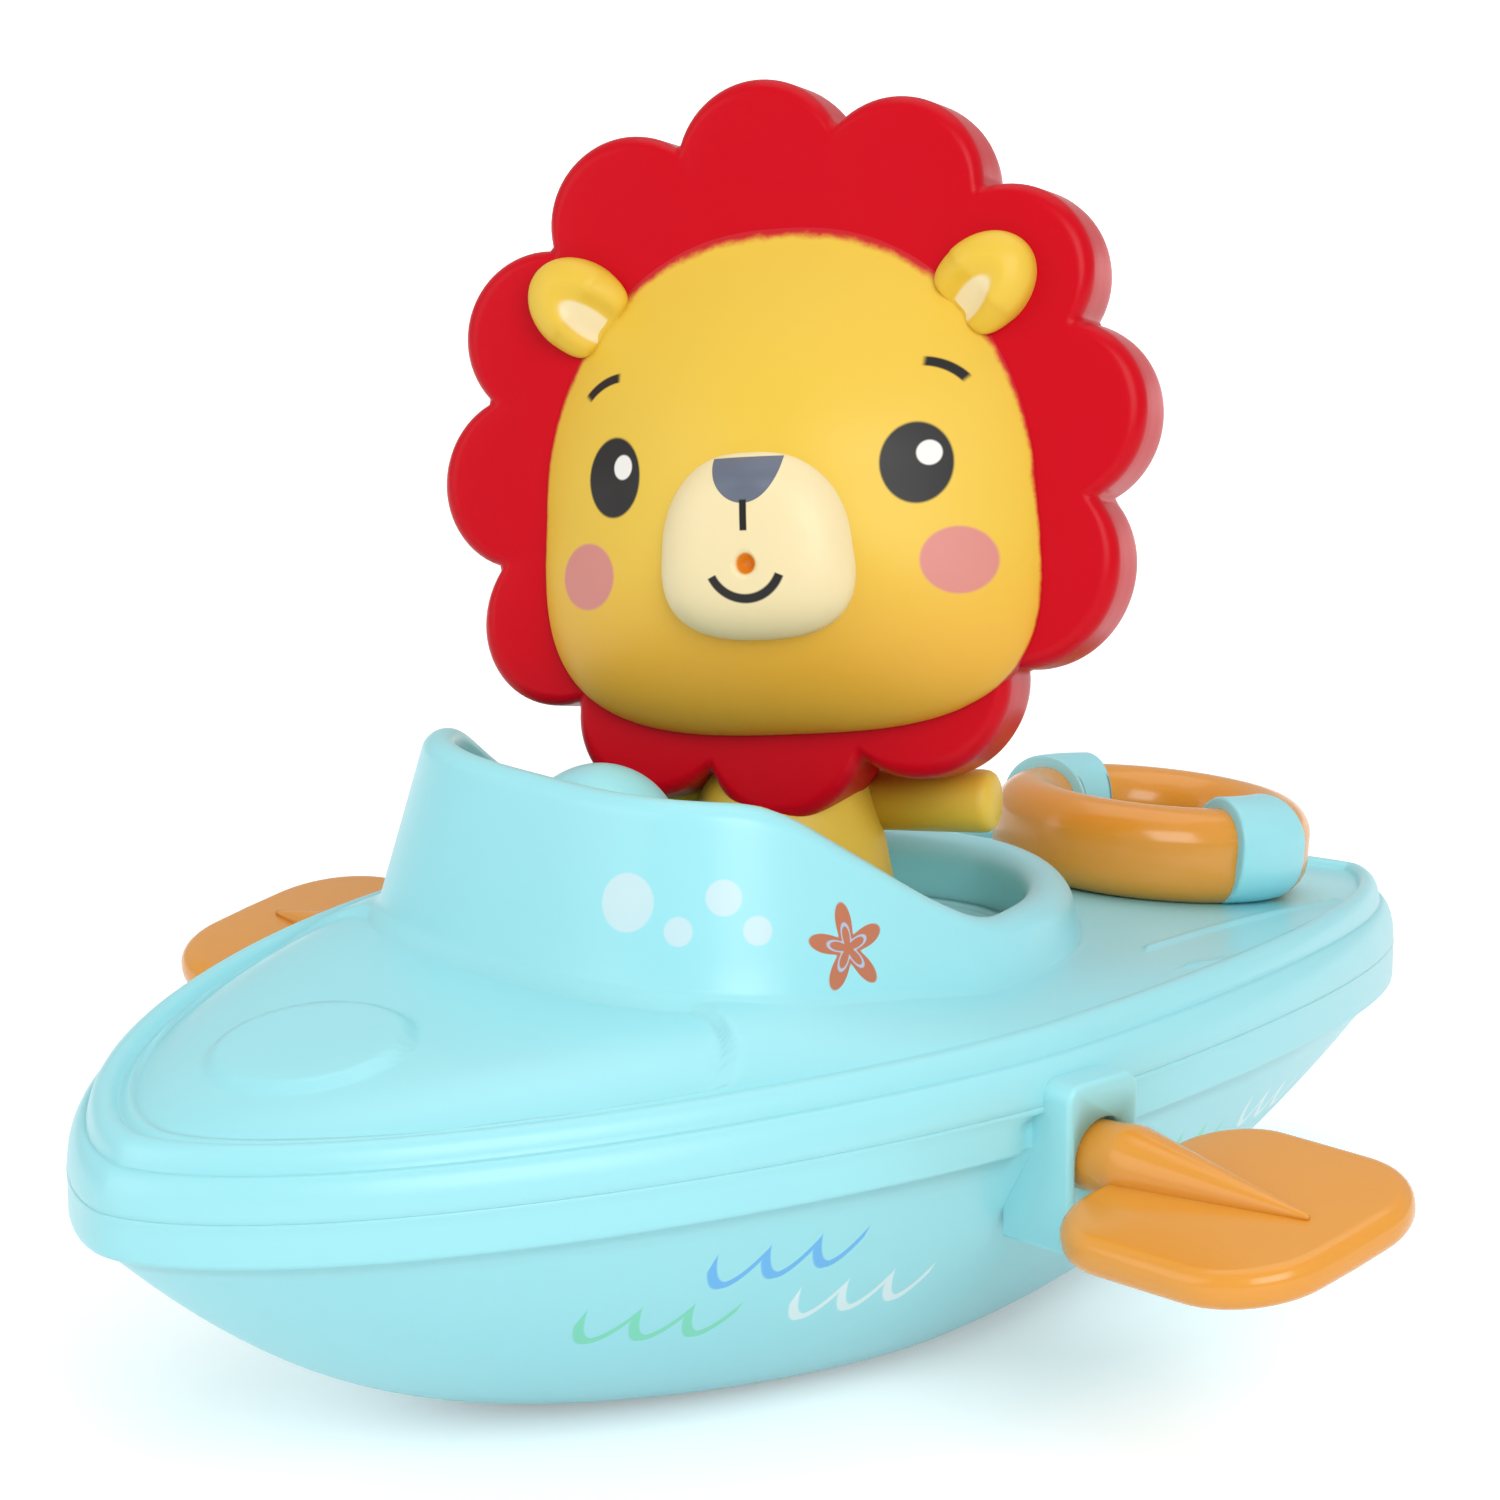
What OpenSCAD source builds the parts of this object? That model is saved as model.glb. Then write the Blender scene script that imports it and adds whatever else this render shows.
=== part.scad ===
// Toy boat with wind-up paddles, a pull ring and a lift-out figure
// Millimetres. +X bow, +Y port, +Z up, keel pad on z = 0

/* [Hull] */
// Hull length along the parting line
hull_len = 191.7; // [184:0.1:200]
// Hull width along the parting line
hull_w = 96; // [92:0.5:100]
// Widest station ahead of mid length
beam_x = 9.45; // [6:0.05:12]
// Height of the parting line at the widest station
sheer_z = 36; // [35:0.1:38]
// Fall of the parting line at the bow
bow_drop = 3.6; // [2:0.1:5]
// Fall of the parting line at the stern
stern_drop = 10.8; // [9:0.1:12]
// Wall thickness of hull and deck
wall = 2.2; // [1.8:0.1:2.6]
// Height of the rub band under the parting line
band_h = 4.8; // [4:0.1:6]
// Step from the rub band in to the hull side
band_step = 1.5; // [0.8:0.1:2]

/* [Deck] */
// Height of the deck edge above the parting line
deck_h = 5.8; // [5:0.1:7]
// Extra height of the deck away from its edge
crown = 4.2; // [3:0.1:5]
// Distance over which the crown builds up
crown_run = 9; // [6:0.5:14]
// Raised disc on the foredeck, ahead of mid length
disc_x = 69; // [67:0.5:71]
// Radius of the raised disc
disc_r = 9.8; // [9:0.1:10.5]
// Height of the raised disc
disc_h = 0.9; // [0.5:0.1:1.4]

/* [Cabin] */
// Middle of the cabin ahead of mid length
cabin_x = 7.5; // [5:0.5:9]
// Reach of the cabin forward of its middle
cabin_front = 37; // [35:0.5:38]
// Reach of the cabin aft of its middle
cabin_aft = 42; // [40:0.5:44]
// Width of the cabin at the deck
cabin_w = 67; // [64:0.5:69]
// Height of the cabin rim at its aft end
rim_aft = 7; // [6:0.1:8]
// Extra height of the cabin rim at its front
rim_rise = 14; // [12:0.5:15]
// Thickness of the cabin wall
rim_t = 3; // [2.6:0.1:3.4]
// Share by which the wall is thicker at the aft collar
collar = 1; // [0.8:0.05:1.1]
// Height of the cockpit floor
tub_floor = 38.2; // [38:0.1:39]
// Thickness of the cockpit liner
tub_t = 1.5; // [1.2:0.1:1.5]
// Radius of the dash hump
dash_r = 8.6; // [8:0.1:9]
// Height of the top of the dash hump
dash_z = 65.9; // [62:0.1:67]

/* [Paddles] */
// Axle ahead of mid length
axle_x = 7.5; // [7:0.1:8.2]
// Axle height
axle_z = 30.3; // [30.1:0.1:31]
// Axle radius
axle_r = 1.5; // [1.4:0.05:1.6]
// Running clearance round a turning pin
fit = 0.05; // [0.03:0.01:0.08]
// Reach of a paddle beyond its bracket
paddle_l = 33.8; // [32:0.1:36]
// Chord of a blade
blade_w = 30.9; // [29:0.1:32]
// Thickness of a blade
blade_t = 4.3; // [4:0.1:4.6]
// Drop of the middle of a blade under the axle line
blade_drop = 2.4; // [2.1:0.05:2.5]
// Turn of the blades at rest, front edge down
blade_tilt = 10; // [5:1:20]
// Reach of an axle bracket beyond the side of the hull
bracket_out = 3.5; // [3:0.1:4.5]
// Length of an axle bracket
bracket_l = 10.4; // [10.2:0.1:12]
// Height of a bracket above the parting line
bracket_h = 2.6; // [2:0.1:3.2]

/* [Motor] */
// Gear module
gear_m = 0.7; // [0.68:0.01:0.72]
// Teeth of both pinions
pinion_n = 10; // [10:1:11]
// Teeth of the idler wheel
wheel_n = 26; // [25:1:26]
// Teeth of the drive gear
drive_n = 30; // [29:1:30]
// Direction from axle to idler
idler_turn = 240.8; // [239:0.2:243]
// Direction from idler to drum arbor
arbor_turn = 195; // [193:0.5:197]
// Wall of the motor case
case_t = 1.3; // [1.1:0.1:1.5]
// Radius of the drum under the cord
drum_r = 6.6; // [6.4:0.1:6.8]

/* [Ring] */
// Middle of the pull ring ahead of the stern
ring_in = 40.35; // [39:0.05:42]
// Outer diameter of the pull ring
ring_d = 36; // [34:0.5:37]
// Width of the ring section
ring_w = 8.2; // [7:0.1:9]
// Height of the ring section
ring_h = 10.6; // [9.5:0.1:11.5]
// Seat gap between loose pieces
seat = 0.2; // [0.1:0.05:0.3]
// Thickness of the ring bands
ring_band_t = 1.3; // [1:0.1:1.6]
// Cord radius
cord_r = 0.6; // [0.5:0.05:0.7]

/* [Figure] */
// Middle of the figure ahead of mid length
fig_x = 2.1; // [1:0.1:3]
// Height of the middle of the mane
head_z = 96.1; // [95:0.1:98]
// Turn of the head to port
head_yaw = 27.5; // [20:0.5:35]
// Lift of the face
head_pitch = 13.5; // [11:0.5:16]
// Lean of the head
head_roll = 6.4; // [0:0.1:10]
// Distance of the mane lobes from the middle
lobe_d = 29.6; // [29:0.1:30.2]
// Radius of a mane lobe
lobe_r = 9.3; // [9:0.1:9.8]
// Turn of the lobes round the face
lobe_turn = 4.5; // [0:0.5:15]
// Half width of the face
face_a = 27; // [26:0.1:27.5]
// Rise of the face above the mane
face_rise = 13.5; // [12.5:0.1:14.5]
// Radius of the squirt hole
squirt_r = 1.05; // [0.8:0.05:1.4]

/* [Hidden] */
bow_len = hull_len/2 - beam_x;
stern_len = hull_len/2 + beam_x;
half_w = hull_w/2;
bow_px = 1.74;
bow_py = 1.65;
stern_px = 1.69;
stern_py = 1.30;
keel_sx = 0.35;
keel_sy = 0.30;
keel_back = 8;
rim_in = 6.2;
n_ring = 48;
n_mane = 96;
n_face = 40;
cabin_half = cabin_w/2;
cabin_nf = 3.2;
cabin_na = 1.7;
rim_x0 = cabin_x - 9.5;
rim_run = 39;
rim_lean = 0.25;
bush_r = 2.9;
hub_r = 3.3;
arch_r = 4.3;
arch_deep = 3;
bracket_y = half_w + bracket_out;
bracket_in = 9.5;
bracket_foot = axle_z - 9.6;
bracket_seam = min(sheer(axle_x - bracket_l/2), sheer(axle_x + bracket_l/2)) - 0.02;
tip_y = bracket_y + paddle_l;
axle_end = tip_y - 22;
rib_start = bracket_y + 3.9;
rib_end = tip_y - 8;
blade_in_r = 8.7;
blade_out_r = 10.8;
blade_tip_r = 7;
blade_edge = 1.9;
crown_x0 = -30;
crown_len = 75;
dash_back = 3.6;
ring_x = ring_in - hull_len/2;
ring_r = ring_d/2;
ring_mid = ring_r - ring_w/2;
cord_x = ring_x - ring_mid;
screw_spots = [[46, 9], [46, -9], [-46, 9], [-46, -9]];
boss_r = 3.6;
boss_top = 20;
screw_seat = 8;
screw_r = 1.2;
screw_head_r = 2.4;
screw_head_h = 1.8;
screw_len = 22;
pin_r = 1.1;
gear_y0 = 1.5;
gear_b = 2.5;
wheel_y0 = gear_y0 + gear_b + 0.6;
drum_y0 = -10.5;
drum_y1 = -2;
flange_t = 1;
winding_t = 0.9;
hub_clutch_r = 3;
case_y0 = drum_y0 - 1.2;
case_y1 = wheel_y0 + gear_b + 0.9;
pitch_pin = gear_m*pinion_n/2;
cd_axle = gear_m*(pinion_n + wheel_n)/2;
cd_arbor = gear_m*(pinion_n + drive_n)/2;
idler_x = axle_x + cd_axle*cos(idler_turn);
idler_z = axle_z + cd_axle*sin(idler_turn);
arbor_x = idler_x + cd_arbor*cos(arbor_turn);
arbor_z = idler_z + cd_arbor*sin(arbor_turn);
tip_add = 0.8*gear_m;
case_r_axle = pitch_pin + tip_add + 0.35;
case_r_idler = gear_m*wheel_n/2 + tip_add + 0.5;
case_r_arbor = gear_m*drive_n/2 + tip_add + 0.5;
lug_r = 2.8;
lugs = [[arbor_x - case_r_arbor - 1.6, arbor_z + 6], [idler_x + case_r_idler + 2.2, idler_z - 1]];
m_screw_r = 0.9;
m_screw_head = 1.8;
m_screw_in = 3;
aqua = [0.62, 0.90, 0.92];
orange = [0.93, 0.58, 0.13];
red = [0.82, 0.05, 0.10];
yellow = [0.95, 0.80, 0.32];
grey = [0.55, 0.57, 0.60];
steel = [0.75, 0.76, 0.78];
brass = [0.80, 0.66, 0.36];
white = [0.92, 0.92, 0.90];

// Plan of the parting line, step j of n_ring, drawn in by i
function spow(b, e) = sign(b)*pow(abs(b), e);
function ang(j) = 360*j/n_ring;
function plan(j, i) = let (c = cos(ang(j)), s = sin(ang(j)), fore = c >= 0) [
    beam_x + (fore ? bow_len - i : stern_len - i)*spow(c, 2/(fore ? bow_px : stern_px)),
    (half_w - i)*spow(s, 2/(fore ? bow_py : stern_py))];
function run(x) = x >= beam_x ? (x - beam_x)/bow_len : (x - beam_x)/stern_len;
function sheer(x) = sheer_z - (x >= beam_x ? bow_drop : stern_drop)*pow(run(x), 2);
function rim_ring(i, h) = [for (j = [0:n_ring - 1]) let (p = plan(j, i)) [p.x, p.y, sheer(p.x) + h]];

// Lower hull, k runs from the keel pad to the rub band
function hull_ring(k, i, base) = [for (j = [0:n_ring - 1]) let (
    p = plan(j, i),
    fx = keel_sx + (1 - keel_sx)*k,
    fy = keel_sy + (1 - keel_sy)*k,
    top = sheer(p.x) - band_h)
    [beam_x - keel_back*(1 - fx) + (p.x - beam_x)*fx, p.y*fy, base + (top - base)*k*k]];
hull_steps = [0, 0.12, 0.25, 0.38, 0.5, 0.62, 0.74, 0.86, 1];
function outer_rings() = [for (k = hull_steps) hull_ring(k, band_step, 0)];
function inner_rings() = [for (m = [len(hull_steps) - 1:-1:0])
    hull_ring(hull_steps[m], band_step + wall, wall)];

// Deck between its edge and the cabin, s runs from edge to cabin
function cab(j, i) = let (c = cos(ang(j)), s = sin(ang(j)), fore = c >= 0) [
    cabin_x + (fore ? cabin_front - i : cabin_aft - i)*spow(c, 2/(fore ? cabin_nf : cabin_na)),
    (cabin_half - i)*spow(s, 2/(fore ? cabin_nf : cabin_na))];
function ease(u) = let (v = min(1, max(0, u))) v*v*(3 - 2*v);
function swell(d, x) = crown*ease((x - crown_x0)/crown_len)*(1 - exp(-d/crown_run));
function deck_pt(j, s, drop) = let (a = plan(j, rim_in), b = cab(j, 0), p = a + (b - a)*s, d = norm(b - a)*s)
    [p.x, p.y, sheer(p.x) + deck_h + swell(d, p.x) - drop];
function deck_ring(s, drop) = [for (j = [0:n_ring - 1]) deck_pt(j, s, drop)];
function deck_mid(x) = sheer(x) + deck_h
    + swell(x > cabin_x ? beam_x + bow_len - rim_in - x : x - beam_x + stern_len - rim_in, x);

// Cabin wall, q runs up the wall, t is the depth into the wall
function rim_height(x) = rim_aft + rim_rise*ease((x - rim_x0)/rim_run);
function depth(j, t) = t + min(t, rim_t)*collar*ease((-cos(ang(j)) - 0.1)/0.9);
function wall_ring(q, t) = [for (j = [0:n_ring - 1]) let (
    base = deck_pt(j, 1, 0),
    h = rim_height(base.x),
    p = cab(j, rim_lean*h*q + depth(j, t))) [p.x, p.y, base.z + h*q]];
function coaming_ring(t, drop) = [for (j = [0:n_ring - 1]) let (
    base = deck_pt(j, 1, 0),
    p = cab(j, depth(j, t))) [p.x, p.y, base.z - drop]];
function flat_ring(t, z) = [for (j = [0:n_ring - 1]) let (
    base = deck_pt(j, 1, 0),
    p = cab(j, depth(j, t))) [p.x, p.y, min(z, base.z - 0.5)]];

// Skin over a list of rings, with end caps or closed into a loop with the other diagonals
module skin(rings, loop = false) {
    n = len(rings[0]);
    m = len(rings);
    pts = [for (r = rings) each r];
    sides = [for (r = [0:(loop ? m - 1 : m - 2)], j = [0:n - 1]) let (
        a = r*n + j,
        b = r*n + (j + 1)%n,
        c = ((r + 1)%m)*n + (j + 1)%n,
        d = ((r + 1)%m)*n + j) each loop ? [[a, d, b], [b, d, c]] : [[a, d, c], [a, c, b]]];
    first = [for (j = [0:n - 1]) j];
    last = [for (j = [0:n - 1]) (m - 1)*n + n - 1 - j];
    polyhedron(points = pts, faces = loop ? sides : concat(sides, [first, last]), convexity = 10);
}

// Pieces along Y, from y0 to y1, about the point x, z
module along_y(x, z, y0, y1) {
    translate([x, y1, z]) rotate([90, 0, 0]) linear_extrude(y1 - y0) children();
}
module rod_y(x, z, y0, y1, r, fn = 32) {
    translate([x, y1, z]) rotate([90, 0, 0]) cylinder(h = y1 - y0, r = r, $fn = fn);
}

module hull_core() {
    skin(concat(outer_rings(), [rim_ring(band_step, 0)]));
}
module bracket_low() {
    translate([axle_x - bracket_l/2, 0, 0]) rotate([90, 0, 90]) linear_extrude(bracket_l)
        polygon([[bracket_y - bracket_in, bracket_foot + 5.4], [bracket_y - bracket_in, bracket_seam],
            [bracket_y, bracket_seam], [bracket_y, bracket_foot], [bracket_y - bracket_in - 3, bracket_foot]]);
}
module arch_cut() {
    rod_y(axle_x, axle_z, bracket_y - arch_deep, bracket_y + 1, arch_r, 40);
    translate([axle_x - arch_r, bracket_y - arch_deep, axle_z - 10]) cube([2*arch_r, arch_deep + 1, 10]);
}
module both_sides() {
    children();
    mirror([0, 1, 0]) children();
}

module hull_shell() {
    color(aqua) difference() {
        union() {
            skin(concat(outer_rings(), [rim_ring(0, -band_h), rim_ring(0, 0), rim_ring(wall, 0)],
                inner_rings()));
            both_sides() bracket_low();
            intersection() {
                union() {
                    for (p = screw_spots) translate([p.x, p.y, 0])
                        cylinder(h = boss_top, r = boss_r, $fn = 32);
                    saddles();
                }
                hull_core();
            }
        }
        for (p = screw_spots) {
            translate([p.x, p.y, -1]) cylinder(h = screw_seat + 1, r = screw_head_r + 0.2, $fn = 32);
            translate([p.x, p.y, 0]) cylinder(h = boss_top + 1, r = screw_r + 0.1, $fn = 24);
        }
        both_sides() {
            rod_y(axle_x, axle_z, bracket_y - bracket_in - 1, bracket_y, bush_r + 0.02);
            rod_y(axle_x, axle_z, bracket_y - bracket_in - 3, bracket_y - bracket_in, bush_r + 1.1);
        }
        both_sides() arch_cut();
    }
}
// Cradle ribs under the motor
module saddles() {
    r = case_r_arbor + case_t;
    for (y = [case_y0 + 1.5, case_y1 - 4.5]) difference() {
        translate([arbor_x - 9, y, 0]) cube([13, 3, arbor_z - r + 5]);
        rod_y(arbor_x, arbor_z, y - 1, y + 4, r + 0.05, 64);
    }
}

module bracket_cap() {
    r = 2;
    h = bracket_h;
    l = bracket_l;
    along_y(axle_x, sheer_z, bracket_y - 6.5, bracket_y) intersection() {
        translate([-l/2, 0]) square([l, h]);
        union() {
            translate([-l/2 + r, 0]) square([l - 2*r, h]);
            for (s = [-1, 1]) translate([s*(l/2 - r), h - r]) circle(r, $fn = 32);
        }
    }
}
gunwale = [[0, 0], [0.1, 1.6], [0.5, 3], [1.3, 4], [2.1, 4.4], [2.4, 5.2], [3.1, 6.4], [4.2, 6.9], [5.3, 6.5],
    [rim_in, deck_h]];
under = [[rim_in + 0.6, deck_h - wall], [4.2, 3.8], [3, 2.2]];
deck_slope = atan((deck_mid(disc_x - disc_r) - deck_mid(disc_x + disc_r))/(2*disc_r));

module deck_shell() {
    color(aqua) difference() {
        union() {
            skin(concat(
                [for (g = gunwale) rim_ring(g.x, g.y)],
                [for (s = [0.2, 0.45, 0.72, 1]) deck_ring(s, 0)],
                [wall_ring(0.12, 0.2), wall_ring(0.5, 0), wall_ring(0.88, 0), wall_ring(0.97, 0.35),
                    wall_ring(1, 1.1), wall_ring(1, rim_t - 1.1), wall_ring(0.97, rim_t - 0.35),
                    wall_ring(0.88, rim_t), wall_ring(0.45, rim_t), coaming_ring(rim_t, 0),
                    coaming_ring(rim_t, wall)],
                [for (s = [0.85, 0.55, 0.25]) deck_ring(s, wall)],
                [for (g = under) rim_ring(g.x, g.y)],
                [rim_ring(wall, 0)]), true);
            both_sides() bracket_cap();
            translate([disc_x, 0, deck_mid(disc_x) - 1]) rotate([0, deck_slope, 0])
                cylinder(h = 1 + disc_h, r = disc_r, $fn = 64);
            for (p = screw_spots) translate([p.x, p.y, boss_top + 0.05])
                cylinder(h = deck_mid(p.x) - 1.9 - boss_top, r = boss_r - 0.2, $fn = 32);
        }
        for (p = screw_spots) translate([p.x, p.y, 0])
            cylinder(h = screw_seat + screw_len + 1, r = screw_r, $fn = 24);
        translate([cord_x, 0, deck_mid(cord_x)]) rotate([0, -ring_tilt, 0])
        {
            cylinder(h = 12, r = guide_r, center = true, $fn = 32);
            translate([0, 0, -wall - 6]) cylinder(h = 5.65, r = guide_flange + 0.1, $fn = 32);
        }
    }
}
module cockpit_tub() {
    gap = 0.1;
    top = 0.2;
    color(aqua) union() {
        skin(concat(
            [flat_ring(rim_t + 4, tub_floor - tub_t), flat_ring(rim_t + 1.4, tub_floor - tub_t + 0.8),
                flat_ring(rim_t + gap, tub_floor + 1.5), coaming_ring(rim_t + gap, top),
                coaming_ring(rim_t + gap + tub_t, top), flat_ring(rim_t + gap + tub_t, tub_floor + 2),
                flat_ring(rim_t + tub_t + 2.4, tub_floor + 0.4), flat_ring(rim_t + tub_t + 4, tub_floor)]));
        translate([cabin_x + cabin_front - rim_t - dash_back - dash_r, 0, tub_floor - 0.5]) {
            cylinder(h = dash_z - dash_r - tub_floor + 0.5, r = dash_r, $fn = 48);
            translate([0, 0, dash_z - dash_r - tub_floor + 0.5]) sphere(dash_r, $fn = 48);
        }
    }
}

module hull_screws() {
    color(steel) for (p = screw_spots) translate([p.x, p.y, screw_seat - screw_head_h]) difference() {
        union() {
            cylinder(h = screw_head_h, r = screw_head_r, $fn = 32);
            cylinder(h = screw_head_h + screw_len, r = screw_r, $fn = 24);
        }
        translate([-2, -0.35, -1]) cube([4, 0.7, 1.8]);
        translate([-0.35, -2, -1]) cube([0.7, 4, 1.8]);
    }
}

module bush() {
    color(white) difference() {
        union() {
            rod_y(axle_x, axle_z, bracket_y - bracket_in, bracket_y - arch_deep, bush_r);
            rod_y(axle_x, axle_z, bracket_y - bracket_in - 1.2, bracket_y - bracket_in, bush_r + 1);
        }
        rod_y(axle_x, axle_z, 0, bracket_y, axle_r + fit);
    }
}
module axle_bush_port() { bush(); }
module axle_bush_starboard() { mirror([0, 1, 0]) bush(); }

module paddle_axle() {
    color(steel) rod_y(axle_x, axle_z, -axle_end, axle_end, axle_r);
}

module blade_disc(y, x, r) {
    for (g = [[1, 0], [0.62, 0.7], [0, 1]]) {
        h = blade_t - 2*blade_edge*(1 - g.x);
        translate([x, y, -blade_drop - h/2]) cylinder(h = h, r = r - blade_edge*(1 - g.y), $fn = 32);
    }
}
module paddle() {
    w = blade_w/2;
    color(orange) translate([axle_x, 0, axle_z]) rotate([0, blade_tilt, 0]) difference() {
        union() {
            hull() {
                for (s = [-1, 1]) {
                    blade_disc(tip_y - 22.2, s*(w - blade_in_r), blade_in_r);
                    blade_disc(tip_y - 10.9, s*(w - blade_out_r), blade_out_r);
                }
                blade_disc(tip_y - blade_tip_r, 0, blade_tip_r);
            }
            rod_y(0, 0, bracket_y - arch_deep + 0.4, rib_start + 2, hub_r);
            translate([0, rib_start, 0]) rotate([-90, 0, 0])
                cylinder(h = rib_end - rib_start, r1 = 4.2, r2 = 2.9, $fn = 32);
        }
        rod_y(0, 0, 0, axle_end, axle_r);
    }
}
module paddle_port() { paddle(); }
module paddle_starboard() { mirror([0, 1, 0]) paddle(); }

// Gear outline, first tooth at angle ph
function gear_pts(n, ph) = let (rp = gear_m*n/2, ra = rp + tip_add, rr = rp - 1.15*gear_m, p = 360/n)
    [for (i = [0:n - 1]) let (a = ph + i*p)
        each [for (v = [[rr, -0.27], [ra, -0.1], [ra, 0.1], [rr, 0.27]])
            v[0]*[cos(a + v[1]*p), sin(a + v[1]*p)]]];
wheel_phase = idler_turn + 180 + 180/wheel_n;
drive_phase = arbor_turn + 180 + 180/drive_n;

module axle_pinion() {
    color(white) difference() {
        along_y(axle_x, axle_z, wheel_y0 - 0.2, wheel_y0 + gear_b + 0.2)
            polygon(gear_pts(pinion_n, idler_turn));
        rod_y(axle_x, axle_z, 0, 20, axle_r);
    }
}
module idler_gear() {
    color(white) difference() {
        union() {
            along_y(idler_x, idler_z, wheel_y0, wheel_y0 + gear_b) polygon(gear_pts(wheel_n, wheel_phase));
            along_y(idler_x, idler_z, gear_y0 - 0.3, wheel_y0 + 0.1) polygon(gear_pts(pinion_n, arbor_turn));
        }
        rod_y(idler_x, idler_z, -20, 20, pin_r + fit);
    }
}
module idler_pin() {
    color(steel) rod_y(idler_x, idler_z, case_y0 - 0.6, case_y1 + 0.6, pin_r);
}
module drive_gear() {
    color(brass) difference() {
        union() {
            along_y(arbor_x, arbor_z, gear_y0, gear_y0 + gear_b) polygon(gear_pts(drive_n, drive_phase));
            rod_y(arbor_x, arbor_z, drum_y1 + 1.9, gear_y0 + 0.1, hub_clutch_r);
        }
        rod_y(arbor_x, arbor_z, -20, 20, pin_r + fit);
    }
}
module arbor_pin() {
    color(steel) rod_y(arbor_x, arbor_z, case_y0 - 0.6, case_y1 + 0.6, pin_r);
}
// Wrap spring round the hubs of drum and drive gear
module clutch_spring() {
    y0 = drum_y1 + 0.05;
    y1 = gear_y0 - 0.3;
    color(steel) difference() {
        union() for (i = [0:5]) rod_y(arbor_x, arbor_z, y0 + i*(y1 - y0)/6, y0 + (i + 1)*(y1 - y0)/6,
            hub_clutch_r + (i%2 == 0 ? 0.75 : 0.6));
        rod_y(arbor_x, arbor_z, -20, 20, hub_clutch_r + fit);
    }
}
module cord_drum() {
    cave = drum_r - 1.2;
    color(white) difference() {
        union() {
            rod_y(arbor_x, arbor_z, drum_y0, drum_y1, drum_r, 48);
            rod_y(arbor_x, arbor_z, drum_y0, drum_y0 + flange_t, drum_r + 2.2, 48);
            rod_y(arbor_x, arbor_z, drum_y1 - flange_t, drum_y1, drum_r + 2.2, 48);
            rod_y(arbor_x, arbor_z, drum_y1 - 0.1, drum_y1 + 1.6, hub_clutch_r);
        }
        rod_y(arbor_x, arbor_z, -20, 20, pin_r + fit);
        rod_y(arbor_x, arbor_z, drum_y0 - 1, drum_y1 - 2, cave, 48);
    }
}
module cord_winding() {
    color(white) difference() {
        rod_y(arbor_x, arbor_z, drum_y0 + flange_t, drum_y1 - flange_t, drum_r + winding_t, 48);
        rod_y(arbor_x, arbor_z, -20, 20, drum_r, 48);
    }
}
// Coiled strip inside the drum
module mainspring() {
    t = 0.3;
    r0 = pin_r;
    r1 = drum_r - 1.7;
    turns = 4;
    n = 96;
    function at(i, o) = let (a = 360*turns*i/n, r = r0 + (r1 - r0 - t)*i/n + o) [r*cos(a), r*sin(a)];
    color(steel) along_y(arbor_x, arbor_z, drum_y0 + 0.4, drum_y1 - 2.4) difference() {
        polygon(concat([for (i = [0:n]) at(i, 0)], [for (i = [n:-1:0]) at(i, t)]));
        circle(pin_r, $fn = 32);
    }
}
module case_outline(o) {
    hull() {
        translate([arbor_x, arbor_z]) circle(case_r_arbor + o, $fn = 64);
        translate([idler_x, idler_z]) circle(case_r_idler + o, $fn = 64);
        translate([axle_x, axle_z]) circle(case_r_axle + o, $fn = 64);
    }
}
module case_half(y0, y1, floor_y) {
    difference() {
        along_y(0, 0, y0, y1) {
            case_outline(case_t);
            for (p = lugs) translate(p) circle(lug_r, $fn = 32);
        }
        along_y(0, 0, min(floor_y, -1), floor_y < 0 ? y1 + 1 : floor_y) case_outline(0);
        rod_y(axle_x, axle_z, -30, 30, axle_r + fit);
        rod_y(idler_x, idler_z, -30, 30, pin_r);
        rod_y(arbor_x, arbor_z, -30, 30, pin_r);
        for (p = lugs) rod_y(p.x, p.y, -30, 30, m_screw_r, 24);
        cord_slot();
    }
}
// Slot in the case for the run of cord
module cord_slot() {
    translate([arbor_x - 22, cord_y - 1.2, arbor_z + drum_r - 1.5]) cube([20, 4, 14]);
}
cord_y = (drum_y0 + drum_y1)/2;
module motor_case_port() {
    color(grey) case_half(0, case_y1 + case_t, case_y1);
}
module motor_case_starboard() {
    color(grey) case_half(case_y0 - case_t, 0, case_y0);
}
module motor_screws() {
    color(steel) for (p = lugs) {
        rod_y(p.x, p.y, case_y0 + m_screw_in, case_y1 + case_t + 0.1, m_screw_r, 24);
        rod_y(p.x, p.y, case_y1 + case_t, case_y1 + case_t + 1.2, m_screw_head, 32);
    }
}

// Ring, cord and deck guide
ring_tilt = atan((deck_mid(ring_x + ring_mid) - deck_mid(ring_x - ring_mid))/(2*ring_mid));
ring_seat = (deck_mid(ring_x + ring_mid) + deck_mid(ring_x - ring_mid))/2 + 0.35;
guide_r = 2;
guide_flange = guide_r + 1.2;
stub = 4.2;
cord_in = 5;
module on_ring() {
    translate([ring_x, 0, ring_seat]) rotate([0, -ring_tilt, 0]) children();
}
module ring_section(o) {
    w = ring_w/2;
    intersection() {
        union() {
            translate([ring_mid, ring_h - w]) circle(w + o, $fn = 48);
            translate([ring_mid - w - o, 0]) square([2*(w + o), ring_h - w]);
        }
        square([2*ring_r, 2*ring_h]);
    }
}
module ring_wrap(wide, o) {
    rotate([0, 0, -wide/2]) rotate_extrude(angle = wide, $fn = 96) difference() {
        ring_section(o);
        ring_section(0.05);
    }
}
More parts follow.
